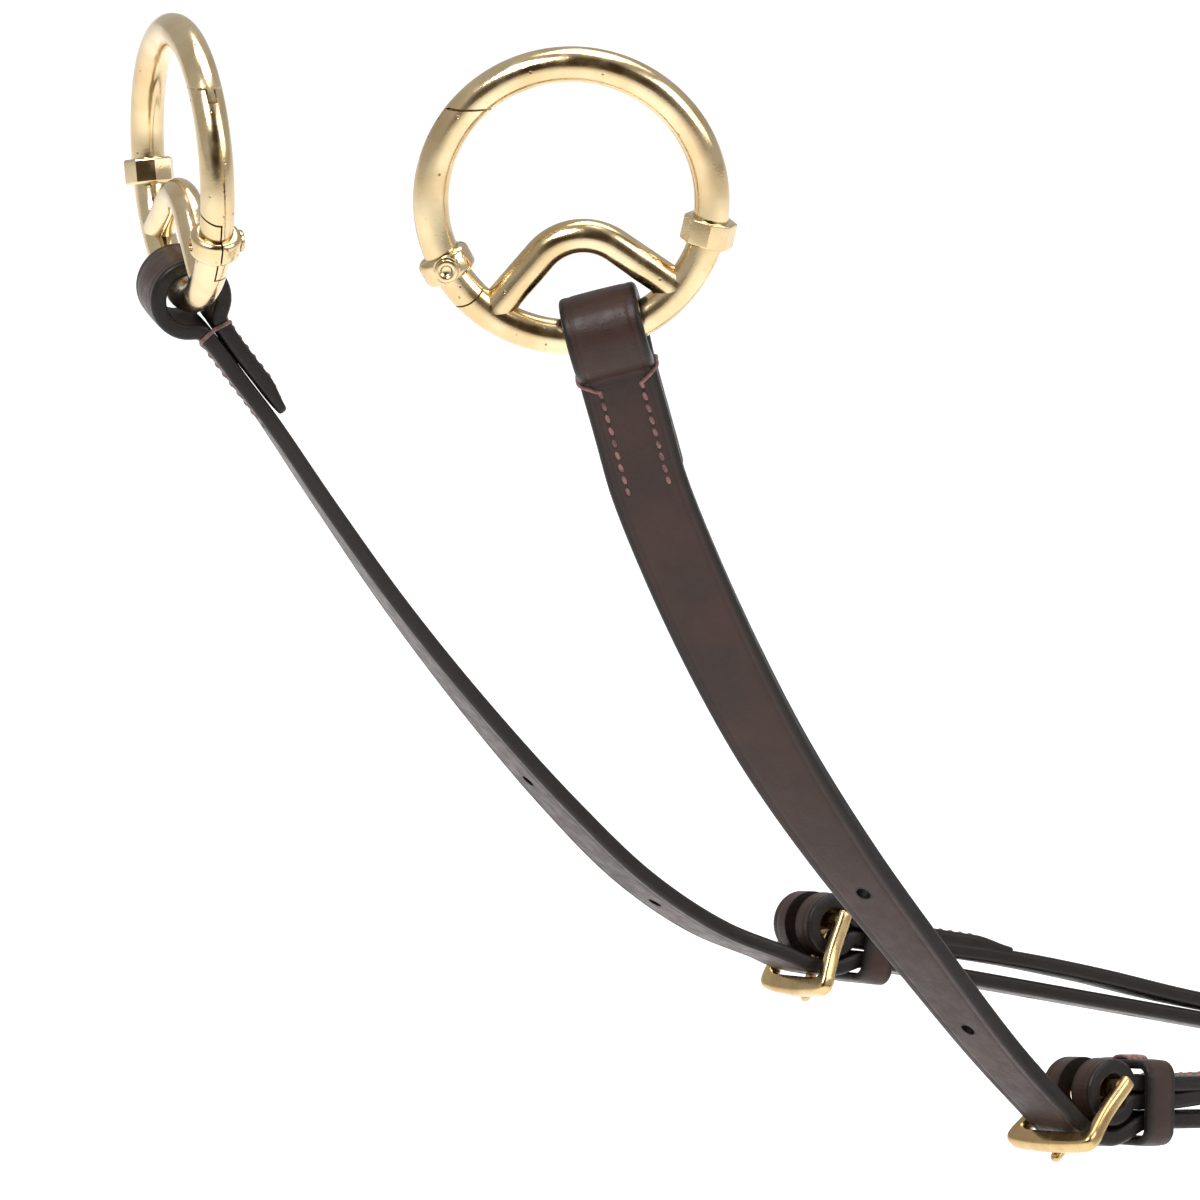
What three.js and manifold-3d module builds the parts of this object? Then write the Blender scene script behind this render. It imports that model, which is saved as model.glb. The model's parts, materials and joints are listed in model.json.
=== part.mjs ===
// A martingale: two sprung ring clips for the saddle, their straps, buckles and shoulder straps,
// the chest ring, the girth strap and the running fork with its two rein rings.
// Millimetres. +X points to the horse's head, +Y to its left, +Z up.
// The origin is the centre of the right-hand clip's ring.
import * as THREE from 'three';
import { mergeVertices } from 'three/addons/utils/BufferGeometryUtils.js';
import Module from 'manifold-3d';

// ---- driving dimensions -------------------------------------------------------------------------
const GAP = 0.3; // clearance between neighbouring pieces
const CLIP_R = 23.05; // clip ring, to the middle of its wire
const WIRE_R = 2.95;
const COLLAR_R = 4.45;
const COLLAR_LONG = 4.5;
const COLLAR_DEG = 20; // both collars sit this far below the ring's middle
const NOSE_DEG = 128; // where the gate meets the nose
const EYE_LEG_DEG = 42; // slope of the crossbar's legs
const EYE_HUMP_R = 9.1;
const EYE_PEAK = 6; // the crossbar's top, below the ring's middle
const EYE_FOOT_DEG = 47.5;
const FIN_REACH = 1.8; // how far the nose's fin stands past the slanting seam
const FIN_T = 1.2;
const STUB_R = 5.6; // back half of the hinge, round the pin
const TAIL_R = 6.9; // front half of the hinge, round the pin
const PIN_R = 1;

const STRAP_W = 13;
const STRAP_T = 3;
const LAYER = (STRAP_T + GAP) / 2; // from a fold's middle plane to the middle of either layer
const CLIP_LOOP_R = 4.3; // inside of the loop round the clip
const CHAPE_R = 3; // inside of the loop round a buckle's bar
const RING_LOOP_R = 3.9; // inside of the loops round the chest ring
const FOLD_DEG = 40; // where a loop leaves its circle for the sewn stretch
const FLAP = 27;

const BAR_R = 1.6;
const FRAME_REACH = 13; // from the buckle's rear bar to its front bar
const FRAME_T = 2.8;
const TONGUE_R = 1;
const KEEPER_T = 1.8;
const KEEPER_LONG = 6.3;
const TAIL_LONG = 125;
const MAIN_Z = -2.45; // middle of the shoulder strap, from the rear bar
const TAIL_Z = -5.85; // middle of the saddle strap's tail, from the rear bar
const CHAPE_Z = -0.8; // middle of the chape's loop, from the rear bar

const CHEST = new THREE.Vector3(405, 50, -272);
const CHEST_R = 22.5;
const CHEST_WIRE = 2.5;
const CHEST_DEG = 56; // the shoulder loops, either way from the top of the chest ring
const GIRTH_W = 20;
const GIRTH_LOOP_R = 5.3;
const STEM_W = 14;
const FORK_W = 12;
const FORK_LEAN_DEG = 14;
const FORK_SPREAD_DEG = 10;
const BRANCH_TOP = 62;
const BRANCH_LONG = 170;
const REIN_R = 15;
const REIN_WIRE = 2;
const REIN_LOOP_R = 3.6;

const X = new THREE.Vector3(1, 0, 0);
const Y = new THREE.Vector3(0, 1, 0);
const Z = new THREE.Vector3(0, 0, 1);
const rad = THREE.MathUtils.degToRad;
const vec = (x, y, z) => new THREE.Vector3(x, y, z);

// ---- materials ----------------------------------------------------------------------------------
const brass = () => new THREE.MeshStandardMaterial({ color: 0xcdb683, roughness: 0.32, metalness: 1 });
const dullBrass = () => new THREE.MeshStandardMaterial({ color: 0xb89a67, roughness: 0.38, metalness: 1 });
const steel = () => new THREE.MeshStandardMaterial({ color: 0x9a9a98, roughness: 0.35, metalness: 1 });
const leather = () => new THREE.MeshStandardMaterial({ color: 0x43342f, roughness: 0.55, metalness: 0 });

// ---- joining and cutting ------------------------------------------------------------------------
const wasm = await Module();
wasm.setup();

function solid(geometry) {
  const plain = geometry.clone();
  plain.deleteAttribute('normal');
  plain.deleteAttribute('uv');
  const merged = mergeVertices(plain);
  return new wasm.Manifold(new wasm.Mesh({
    numProp: 3,
    vertProperties: new Float32Array(merged.attributes.position.array),
    triVerts: new Uint32Array(merged.index.array),
  }));
}

function geometryOf(manifold) {
  const mesh = manifold.getMesh();
  const geometry = new THREE.BufferGeometry();
  geometry.setAttribute('position', new THREE.BufferAttribute(new Float32Array(mesh.vertProperties), 3));
  geometry.setIndex(new THREE.BufferAttribute(new Uint32Array(mesh.triVerts), 1));
  geometry.computeVertexNormals();
  return geometry;
}

function box(sx, sy, sz, centre, matrix = new THREE.Matrix4()) {
  const geometry = new THREE.BoxGeometry(sx, sy, sz);
  geometry.translate(centre.x, centre.y, centre.z);
  return solid(geometry.applyMatrix4(matrix));
}

// A round bar along `axis`, from `from` to `to` along it.
function bar(radius, axis, from, to, centre, sides = 20) {
  const geometry = new THREE.CylinderGeometry(radius, radius, to - from, sides);
  geometry.translate(0, (from + to) / 2, 0);
  geometry.applyQuaternion(new THREE.Quaternion().setFromUnitVectors(Y, axis.clone().normalize()));
  geometry.translate(centre.x, centre.y, centre.z);
  return solid(geometry);
}

// ---- sweeping a section along a route -----------------------------------------------------------
// A route is a list of stations, each a place and the direction across the section there.
class Route extends THREE.Curve {
  constructor(stations) {
    super();
    this.stations = stations;
    const last = stations.length - 1;
    this.tangents = stations.map((s, i) => {
      const before = stations[Math.max(i - 1, 0)].p;
      const after = stations[Math.min(i + 1, last)].p;
      return after.clone().sub(before).normalize();
    });
    this.across = stations.map((s, i) => {
      const t = this.tangents[i];
      return s.w.clone().addScaledVector(t, -s.w.dot(t)).normalize();
    });
  }

  getSpacedPoints() {
    return this.stations.map((s) => s.p.clone());
  }

  computeFrenetFrames() {
    const binormals = this.tangents.map((t, i) => t.clone().cross(this.across[i]));
    return { tangents: this.tangents, normals: this.across, binormals };
  }
}

const sweep = (section, stations) => new THREE.ExtrudeGeometry(section, {
  steps: stations.length - 1, extrudePath: new Route(stations),
});

function circle(radius, sides) {
  const points = Array.from({ length: sides }, (_, i) => {
    const a = (2 * Math.PI * (i + 0.5)) / sides;
    return new THREE.Vector2(radius * Math.cos(a), radius * Math.sin(a));
  });
  return new THREE.Shape(points);
}

// A strap's section: flat faces and eased edges.
function strapSection(width, thickness, ease = 0.7) {
  const w = width / 2;
  const t = thickness / 2;
  return new THREE.Shape([
    [w - ease, -t], [w, -t + ease], [w, t - ease], [w - ease, t],
    [-w + ease, t], [-w, t - ease], [-w, -t + ease], [-w + ease, -t],
  ].map(([x, y]) => new THREE.Vector2(x, y)));
}

// A fold round a bar: from the flap's end, round the loop, to the start of the main layer.
// `centre` is the loop's centre, `w` runs across, `d` away from the bar and `o` to the main layer.
function fold(centre, w, d, o, inside, flap, thickness = STRAP_T) {
  const r = inside + thickness / 2;
  const layer = (thickness + GAP) / 2;
  const a = rad(FOLD_DEG);
  const meet = r * Math.sin(a) + (r * Math.cos(a) - layer) / Math.tan(a);
  const place = (side, down) => ({ p: centre.clone().addScaledVector(o, side).addScaledVector(d, down), w });
  const stations = [place(-layer, flap), place(-layer, meet + 1.5), place(-layer - 0.15, meet - 0.8)];
  const arcs = 12;
  for (let i = 0; i <= arcs; i += 1) {
    const turn = -a + ((Math.PI + 2 * a) * i) / arcs;
    stations.push(place(-r * Math.cos(turn), -r * Math.sin(turn)));
  }
  stations.push(place(layer + 0.15, meet - 0.8), place(layer, meet + 1.5));
  return stations;
}

// Stations on a smooth curve through points, with the across direction turning from w0 to w1.
function smooth(points, count, w0, w1, tension = 0.5) {
  const curve = new THREE.CatmullRomCurve3(points, false, 'centripetal', tension);
  return Array.from({ length: count + 1 }, (_, i) => {
    const u = i / count;
    const eased = u * u * (3 - 2 * u);
    return { p: curve.getPointAt(u), w: w0.clone().lerp(w1, eased).normalize() };
  });
}

const group = new THREE.Group();

function add(name, geometry, material, parent = group) {
  const mesh = new THREE.Mesh(geometry, material);
  mesh.name = name;
  parent.add(mesh);
  return mesh;
}

// ---- ring clip ----------------------------------------------------------------------------------
// Drawn in its own frame: the ring stands in the XZ plane and its front is -Y.
const onRing = (deg, r = CLIP_R) => vec(r * Math.cos(rad(deg)), 0, r * Math.sin(rad(deg)));

function wireArc(fromDeg, toDeg, r = CLIP_R) {
  const steps = Math.round(Math.abs(toDeg - fromDeg) / 8);
  const stations = Array.from({ length: steps + 1 }, (_, i) => (
    { p: onRing(fromDeg + ((toDeg - fromDeg) * i) / steps, r), w: Y }));
  return solid(sweep(circle(WIRE_R, 12), stations));
}

const tangentAt = (deg) => vec(-Math.sin(rad(deg)), 0, Math.cos(rad(deg)));
const collar = (deg, sides) => bar(COLLAR_R, tangentAt(deg), -COLLAR_LONG / 2, COLLAR_LONG / 2, onRing(deg), sides);

// Everything on one side of the slanting seam between nose and gate. It moves `shift` into the gate.
function seamSide(shift, side) {
  const half = 20;
  const turn = new THREE.Matrix4().makeRotationY(-rad(NOSE_DEG + 45));
  turn.setPosition(onRing(NOSE_DEG));
  return box(2 * half, 20, half, vec(0, 0, side * (half / 2) + shift), turn);
}

const PIN_DEG = 180 + COLLAR_DEG;
const PIN_AT = onRing(PIN_DEG);
const HINGE_LONG = 12;

function clipBody() {
  const foot = onRing(-EYE_FOOT_DEG);
  const legs = rad(EYE_LEG_DEG);
  const middle = -EYE_PEAK - EYE_HUMP_R;
  const hump = [];
  for (let i = 0; i <= 10; i += 1) {
    const a = Math.PI / 2 + legs - (2 * legs * i) / 10;
    hump.push({ p: vec(EYE_HUMP_R * Math.cos(a), 0, middle + EYE_HUMP_R * Math.sin(a)), w: Y });
  }
  const crossbar = [{ p: vec(-foot.x, 0, foot.z), w: Y }, ...hump, { p: foot.clone(), w: Y }];
  const lower = wireArc(PIN_DEG - 360, 0).add(collar(PIN_DEG, 20));
  const belowPin = bar(TAIL_R + GAP, Y, -HINGE_LONG, GAP / 2, PIN_AT, 28);
  const stub = wireArc(PIN_DEG - 22, PIN_DEG + 3).add(collar(PIN_DEG, 20))
    .intersect(bar(STUB_R, Y, GAP / 2, HINGE_LONG, PIN_AT, 28));
  const nose = wireArc(90, NOSE_DEG + 12).subtract(seamSide(0, 1));
  const fin = wireArc(NOSE_DEG - 4, NOSE_DEG + 16).intersect(box(40, FIN_T, 40, onRing(NOSE_DEG)))
    .subtract(seamSide(FIN_REACH, 1));
  return lower.subtract(belowPin).add(stub)
    .add(wireArc(0, 90)).add(nose).add(fin)
    .add(solid(sweep(circle(WIRE_R - 0.1, 12), crossbar)))
    .add(collar(-COLLAR_DEG, 8))
    .subtract(bar(PIN_R + 0.15, Y, -HINGE_LONG, HINGE_LONG, PIN_AT, 16))
    .subtract(bar(2.7, Y, 0, 2.7, PIN_AT, 16));
}

// The slot in the gate's tip, open towards the seam, that the nose's fin enters. Its end slants as
// the seam does, so that it draws away from the fin as the gate opens.
function tipSlot() {
  return seamSide(FIN_REACH + 2 * GAP, -1).intersect(box(60, FIN_T + 2 * GAP, 60, onRing(NOSE_DEG)));
}

function clipGate() {
  const stubRoom = bar(STUB_R + GAP, Y, -GAP / 2, HINGE_LONG, PIN_AT, 28);
  const upper = wireArc(NOSE_DEG - 12, PIN_DEG).add(collar(PIN_DEG, 20)).subtract(stubRoom);
  const tail = wireArc(PIN_DEG - 3, PIN_DEG + 24).intersect(bar(TAIL_R, Y, -HINGE_LONG, -GAP / 2, PIN_AT, 28));
  return upper.add(tail)
    .subtract(seamSide(GAP * 1.2, -1))
    .subtract(tipSlot())
    .subtract(bar(PIN_R + 0.15, Y, -HINGE_LONG, HINGE_LONG, PIN_AT, 16))
    .subtract(bar(2.25, Y, -HINGE_LONG, -3.9, PIN_AT, 20));
}

// The pin: a plain shaft with a raised, dimpled head in front.
function clipPin() {
  const profile = [
    [0, -4.4], [0.9, -4.4], [1.15, -4.8], [1.75, -4.8], [1.95, -4.6], [1.95, -4.15], [PIN_R, -4.15],
    [PIN_R, 4.1], [0, 4.1],
  ].map(([x, y]) => new THREE.Vector2(x, y));
  const geometry = new THREE.LatheGeometry(profile, 14);
  return geometry.translate(PIN_AT.x, 0, PIN_AT.z);
}

function clipSpring() {
  const turns = 2.5;
  const perTurn = 10;
  const stations = Array.from({ length: turns * perTurn + 1 }, (_, i) => {
    const a = (2 * Math.PI * i) / perTurn;
    return { p: vec(PIN_AT.x + 1.95 * Math.cos(a), 0.75 + (0.62 * i) / perTurn, PIN_AT.z + 1.95 * Math.sin(a)), w: Y };
  });
  return sweep(circle(0.24, 5), stations);
}

const CLIP_PARTS = [
  ['clip_body', geometryOf(clipBody()), brass],
  ['clip_gate', geometryOf(clipGate()), brass],
  ['clip_pin', clipPin(), dullBrass],
  ['clip_spring', clipSpring(), steel],
];

// `turn` is about Z, `roll` lifts the ring's right side.
function placeClip(side, at, turn, roll) {
  const clip = new THREE.Group();
  clip.position.copy(at);
  clip.rotation.set(0, -rad(roll), rad(turn), 'ZYX');
  for (const [name, geometry, finish] of CLIP_PARTS) add(`${side}_${name}`, geometry.clone(), finish(), clip);
  group.add(clip);
}

// ---- the two sides ------------------------------------------------------------------------------
// `slope` is how far the shoulder strap points down, `yaw` and `lean` how it turns and leans, and
// `hang` the frame's angle below backwards.
// `loop` is where the strap folds round the clip's lower arc, `loopW` runs along that arc and
// `loopD` is the way the strap leaves it.
const SIDES = {
  right: {
    clip: vec(0, 0, 0), turn: -27, roll: 7.5,
    bar: vec(101.5, 0, -171.5), slope: 12, yaw: 10, lean: -13.8, hang: 46.4,
    loop: vec(5.17, -2.63, -22.3), loopW: vec(0.862, -0.439, 0.252), loopD: vec(0.281, 0, -0.96),
    drop: [
      [17.4, -3.9, -61.5], [26.3, -3.5, -80.3], [37, -3, -99.8],
      [50.2, -2.4, -119.8], [65.7, -1.5, -140.5], [82.2, -0.6, -161.8],
    ],
    entry: [[-7.77, -5.5], [-5.2, -7.3], [-2.6, -8.4]],
    chest: [[266, 25.5, -210], [305, 23, -223], [342, 18.5, -238]],
    chestSide: -1,
  },
  left: {
    clip: vec(-25, 100, -13), turn: 81, roll: 3,
    bar: vec(101.5, 100, -171.5), slope: 18, yaw: 0, lean: -14.5, hang: 78,
    loop: vec(-25, 100, -36.05), loopW: vec(-0.2, -0.98, 0), loopD: vec(0.56, -0.114, -0.82),
    drop: [
      [0.8, 98.5, -77.3], [14.8, 99.5, -98], [30.4, 100, -119.1],
      [47.8, 100, -140.6], [63.4, 100, -157.4], [78.7, 100, -169.4],
    ],
    entry: [[-9.5, -7.4], [-6, -8.25], [-3.3, -8.6]],
    chest: [[265, 99.5, -226], [300, 97, -233.5], [335, 92.5, -240]],
    chestSide: 1,
  },
};

// The frame of a buckle joint: its origin is the rear bar and +X runs along the shoulder strap.
function jointMatrix(side) {
  const turn = new THREE.Euler(rad(side.lean), rad(side.slope), rad(side.yaw), 'ZYX');
  return new THREE.Matrix4().makeRotationFromEuler(turn).setPosition(side.bar);
}

const inJoint = (side, x, z, y = 0) => vec(x, y, z).applyMatrix4(jointMatrix(side));
const jointAcross = (side) => vec(0, -1, 0).transformDirection(jointMatrix(side));

// The frame of the buckle itself: +X runs from its rear bar to its front bar, backwards and down,
// and +Z away from the strap that comes in.
function buckleMatrix(side) {
  return jointMatrix(side).multiply(new THREE.Matrix4().makeRotationY(rad(180 - side.hang)));
}

const PUNCH_R = 1.3;

// A round hole through a strap, across the route at station i.
function punch(route, i, at) {
  return bar(PUNCH_R, route.computeFrenetFrames().binormals[i], -STRAP_T, STRAP_T, at, 10);
}

function saddleStrap(side) {
  const w = side.loopW.clone().normalize();
  const d = side.loopD.clone().addScaledVector(w, -side.loopD.dot(w)).normalize();
  const o = d.clone().cross(w);
  const head = fold(side.loop, w, d, o, CLIP_LOOP_R, FLAP);
  const leave = side.loop.clone().addScaledVector(o, LAYER);
  const entry = side.entry.map(([x, z]) => inJoint(side, x, z));
  const drop = smooth([
    leave.clone().addScaledVector(d, 19), leave.clone().addScaledVector(d, 27),
    ...side.drop.map((p) => vec(...p)), entry[0],
  ], 44, w, jointAcross(side));
  const under = [...side.entry.slice(1), [0, -8.75], [2.6, -8.2], [5, -7], [7, -6.1], [9, TAIL_Z], [14, TAIL_Z],
    [TAIL_LONG, TAIL_Z]].map(([x, z]) => ({ p: inJoint(side, x, z), w: jointAcross(side) }));
  const stations = [...head, ...drop, ...under];
  const route = new Route(stations);
  let strap = solid(sweep(strapSection(STRAP_W, STRAP_T), stations));
  const first = head.length;
  for (const i of [first + 27, first + 37]) strap = strap.subtract(punch(route, i, stations[i].p));
  const slot = box(7.5, 2 * TONGUE_R + 0.8, 4.6, vec(8.2, 0, 3.1), buckleMatrix(side));
  return geometryOf(strap.subtract(slot));
}

function shoulderStrap(side) {
  const along = vec(1, 0, 0).transformDirection(jointMatrix(side));
  const up = vec(0, 0, 1).transformDirection(jointMatrix(side));
  const across = jointAcross(side);
  const chape = fold(inJoint(side, 0, CHAPE_Z), across, along, up.clone().negate(), CHAPE_R, 40);
  const bowed = [[13, MAIN_Z], [24, -1.5], [40, -0.9], [60, -1.2], [80, -2.2], [92, MAIN_Z], [130, MAIN_Z]];
  const straight = bowed.map(([x, z]) => ({ p: inJoint(side, x, z), w: across }));
  const a = rad(CHEST_DEG);
  const s = side.chestSide;
  const centre = CHEST.clone().add(vec(0, s * CHEST_R * Math.sin(a), CHEST_R * Math.cos(a)));
  const w = vec(0, -Math.cos(a), s * Math.sin(a));
  const reach = rad(30);
  const d = vec(-Math.cos(reach), s * Math.sin(a) * Math.sin(reach), Math.cos(a) * Math.sin(reach));
  const o = w.clone().cross(d).multiplyScalar(-1);
  const tail = fold(centre, w, d, o, RING_LOOP_R, 30).reverse();
  const curve = smooth([
    inJoint(side, 134, MAIN_Z), ...side.chest.map((p) => vec(...p)),
    centre.clone().addScaledVector(o, LAYER).addScaledVector(d, 34),
    centre.clone().addScaledVector(o, LAYER).addScaledVector(d, 18),
  ], 12, across, w);
  const strap = solid(sweep(strapSection(STRAP_W, STRAP_T), [...chape, ...straight, ...curve, ...tail]));
  const slot = box(11.8, 3.5, 16, vec(-1.3, 0, CHAPE_Z), jointMatrix(side));
  return geometryOf(strap.subtract(slot));
}

// A closed leather band round the layers between two heights, `from` along the joint's +X.
function keeper(low, high, from, long) {
  const w = STRAP_W / 2 + 0.4;
  const outer = new THREE.Shape();
  const [x0, x1, y0, y1] = [-w - KEEPER_T, w + KEEPER_T, low - KEEPER_T, high + KEEPER_T];
  const ease = 1.6;
  outer.moveTo(x0 + ease, y0).lineTo(x1 - ease, y0).lineTo(x1, y0 + ease).lineTo(x1, y1 - ease);
  outer.lineTo(x1 - ease, y1).lineTo(x0 + ease, y1).lineTo(x0, y1 - ease).lineTo(x0, y0 + ease);
  const inner = new THREE.Path();
  inner.moveTo(-w, low).lineTo(w, low).lineTo(w, high).lineTo(-w, high);
  outer.holes.push(inner);
  const geometry = new THREE.ExtrudeGeometry(outer, { depth: long, bevelEnabled: false });
  return geometry.applyMatrix4(new THREE.Matrix4().makeBasis(Y, Z, X)).translate(from, 0, 0);
}

// The buckle frame, in its own plane: u runs from the rear bar to the front bar, and y across.
function buckleFrame() {
  const outline = [[-1.9, 9.6], [5, 9.7], [11, 11], [13.4, 11], [14.6, 9.8], [14.8, 4]];
  const inside = [[-1.9, 7.3], [4, 7.3], [9.6, 8.4], [11.1, 7], [11.3, 3]];
  const mirrored = (points) => points.slice().reverse().map(([u, y]) => [u, -y]);
  const shape = new THREE.Shape([...outline, ...mirrored(outline), ...inside.map(([u, y]) => [u, -y]),
    ...inside.slice().reverse()].map(([u, y]) => new THREE.Vector2(u, y)));
  const plate = new THREE.ExtrudeGeometry(shape, { depth: FRAME_T, bevelEnabled: false });
  plate.translate(0, 0, -FRAME_T / 2);
  return solid(plate).add(bar(BAR_R, Y, -8.5, 8.5, vec(0, 0, 0), 14));
}

function buckleTongue() {
  const spine = [[0, 2.3], [3.4, 1.9], [7, 2], [10, 2.4], [12.8, 2.85], [FRAME_REACH + 2.4, 2.7]];
  const shank = sweep(circle(TONGUE_R, 8), spine.map(([x, z]) => ({ p: vec(x, 0, z), w: Y })));
  return bar(BAR_R + 1.25, Y, -1.25, 1.25, vec(0, 0, 0), 16).add(solid(shank))
    .subtract(bar(BAR_R + 0.2, Y, -2, 2, vec(0, 0, 0), 16));
}

const FRAME_GEOMETRY = geometryOf(buckleFrame());
const TONGUE_GEOMETRY = geometryOf(buckleTongue());

for (const [name, side] of Object.entries(SIDES)) {
  placeClip(name, side.clip, side.turn, side.roll);
  add(`${name}_saddle_strap`, saddleStrap(side), leather());
  add(`${name}_shoulder_strap`, shoulderStrap(side), leather());
  const buckle = new THREE.Group();
  buckle.applyMatrix4(buckleMatrix(side));
  add(`${name}_buckle_frame`, FRAME_GEOMETRY.clone(), dullBrass(), buckle);
  add(`${name}_buckle_tongue`, TONGUE_GEOMETRY.clone(), dullBrass(), buckle);
  group.add(buckle);
  const sewn = keeper(-8.5, 3.15, 6.2, KEEPER_LONG);
  add(`${name}_fixed_keeper`, sewn, leather()).applyMatrix4(jointMatrix(side));
  const runner = keeper(TAIL_Z - STRAP_T / 2 - 0.4, MAIN_Z + STRAP_T / 2 + 0.4, 97, KEEPER_LONG + 1);
  add(`${name}_runner_keeper`, runner, leather()).applyMatrix4(jointMatrix(side));
}

// ---- chest ring ---------------------------------------------------------------------------------
function ring(radius, wire, axis, centre, sides, steps) {
  const geometry = new THREE.TorusGeometry(radius, wire, sides, steps);
  geometry.applyQuaternion(new THREE.Quaternion().setFromUnitVectors(Z, axis.clone().normalize()));
  return geometry.translate(centre.x, centre.y, centre.z);
}

add('chest_ring', ring(CHEST_R, CHEST_WIRE, X, CHEST, 10, 40), brass());

// ---- girth strap --------------------------------------------------------------------------------
const GIRTH_TOP = CHEST.clone().addScaledVector(Z, -CHEST_R);
const GIRTH_LOOP_HALF = 15;
const GIRTH_LOOP_LOW = 205;

function girthStrap() {
  const across = vec(0, -1, 0);
  const down = vec(0, 0, -1);
  const back = vec(-1, 0, 0);
  const place = ([o, d]) => ({ p: GIRTH_TOP.clone().addScaledVector(back, o).addScaledVector(down, d), w: across });
  const corner = 9;
  const low = [];
  for (let i = 0; i <= 4; i += 1) {
    const a = (Math.PI / 2) * (i / 4);
    low.push([GIRTH_LOOP_HALF - corner + corner * Math.cos(a), GIRTH_LOOP_LOW - corner + corner * Math.sin(a)]);
  }
  const half = [[LAYER, 112], [2.6, 118], [6, 124], [11, 131], [14.2, 139], [GIRTH_LOOP_HALF, 150], ...low];
  const other = half.slice().reverse().map(([o, d]) => [-o, d]);
  const loop = [[LAYER, 60], ...half, ...other, [-LAYER, 88]].map(place);
  const head = fold(GIRTH_TOP, across, down, back, GIRTH_LOOP_R, 40);
  return sweep(strapSection(GIRTH_W, STRAP_T), [...head, ...loop]);
}

add('girth_strap', girthStrap(), leather());

// ---- running fork -------------------------------------------------------------------------------
const FORK_TOP = CHEST.clone().addScaledVector(Z, CHEST_R);
const FORK_D = vec(Math.sin(rad(FORK_LEAN_DEG)), 0, -Math.cos(rad(FORK_LEAN_DEG)));
const FORK_O = vec(Math.cos(rad(FORK_LEAN_DEG)), 0, Math.sin(rad(FORK_LEAN_DEG)));

function forkStem() {
  const head = fold(FORK_TOP, Y, FORK_D, FORK_O, RING_LOOP_R, 33);
  const foot = FORK_TOP.clone().addScaledVector(FORK_O, LAYER).addScaledVector(FORK_D, BRANCH_TOP + 34);
  return sweep(strapSection(STEM_W, STRAP_T), [...head, { p: foot, w: Y }]);
}

add('fork_stem', forkStem(), leather());

function forkBranch(name, s, depth) {
  const spread = rad(FORK_SPREAD_DEG);
  const d = FORK_D.clone().multiplyScalar(Math.cos(spread)).addScaledVector(Y, s * Math.sin(spread));
  const w = Y.clone().multiplyScalar(Math.cos(spread)).addScaledVector(FORK_D, -s * Math.sin(spread));
  const start = FORK_TOP.clone().addScaledVector(FORK_O, depth).addScaledVector(FORK_D, BRANCH_TOP);
  const centre = start.clone().addScaledVector(d, BRANCH_LONG).addScaledVector(FORK_O, -LAYER);
  const tail = fold(centre, w, d.clone().negate(), FORK_O, REIN_LOOP_R, 26).reverse();
  add(`${name}_fork_branch`, sweep(strapSection(FORK_W, STRAP_T), [{ p: start, w }, ...tail]), leather());
  const middle = centre.clone().addScaledVector(d, REIN_R);
  add(`${name}_rein_ring`, ring(REIN_R, REIN_WIRE, FORK_O, middle, 10, 32), brass());
}

forkBranch('right', -1, LAYER - STRAP_T - GAP);
forkBranch('left', 1, LAYER - 2 * (STRAP_T + GAP));

export default group;
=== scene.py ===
"""The looks of a martingale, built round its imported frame.

Lengths are millimetres until a mesh is finished, and metres after that. +X points to the horse's
head, +Y to its left and +Z up. Leather is cut and punched flat, then laid along its route. Brass
is swept, turned, joined and cut. Threads, punched rows, rings and springs are Geometry Nodes.
"""

from __future__ import annotations

import json
import logging
import math
import sys
from dataclasses import dataclass, field
from enum import Enum
from typing import Any, Sequence

import bmesh
import bpy
import numpy as np
from mathutils import Matrix, Vector

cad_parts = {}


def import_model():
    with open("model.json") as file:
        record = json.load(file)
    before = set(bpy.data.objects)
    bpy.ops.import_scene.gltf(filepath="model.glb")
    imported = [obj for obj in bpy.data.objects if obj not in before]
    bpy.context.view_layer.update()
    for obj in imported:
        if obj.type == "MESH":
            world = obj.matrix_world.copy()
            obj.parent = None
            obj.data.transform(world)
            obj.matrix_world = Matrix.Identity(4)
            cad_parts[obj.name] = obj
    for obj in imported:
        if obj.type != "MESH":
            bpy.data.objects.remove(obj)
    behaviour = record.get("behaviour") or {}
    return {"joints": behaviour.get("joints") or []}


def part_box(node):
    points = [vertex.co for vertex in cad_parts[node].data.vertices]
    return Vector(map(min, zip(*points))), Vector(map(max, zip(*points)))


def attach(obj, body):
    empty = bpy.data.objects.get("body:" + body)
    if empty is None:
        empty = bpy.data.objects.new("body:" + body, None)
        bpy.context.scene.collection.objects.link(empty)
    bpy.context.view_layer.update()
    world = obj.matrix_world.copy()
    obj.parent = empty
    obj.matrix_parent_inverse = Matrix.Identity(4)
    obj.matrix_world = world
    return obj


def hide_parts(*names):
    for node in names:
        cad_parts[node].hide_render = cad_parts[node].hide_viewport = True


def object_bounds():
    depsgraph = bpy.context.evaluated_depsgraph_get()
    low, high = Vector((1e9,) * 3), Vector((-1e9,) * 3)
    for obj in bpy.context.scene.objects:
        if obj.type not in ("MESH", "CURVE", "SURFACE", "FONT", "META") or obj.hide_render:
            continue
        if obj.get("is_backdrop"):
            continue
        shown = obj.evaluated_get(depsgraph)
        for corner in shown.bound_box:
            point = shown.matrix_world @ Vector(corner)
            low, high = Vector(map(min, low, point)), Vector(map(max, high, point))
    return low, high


LOG = logging.getLogger("martingale")
MM = 0.001

Array = np.ndarray
Colour = tuple[float, float, float]
Node = bpy.types.Node
Object = bpy.types.Object
Socket = bpy.types.NodeSocket

X = np.array([1.0, 0.0, 0.0])
Y = np.array([0.0, 1.0, 0.0])
Z = np.array([0.0, 0.0, 1.0])


class Slot(Enum):
    """The record's material slots."""

    CLIP_BRASS = "clip_brass"
    BUCKLE_BRASS = "buckle_brass"
    SPRING_STEEL = "spring_steel"
    STRAP_LEATHER = "strap_leather"


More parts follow.
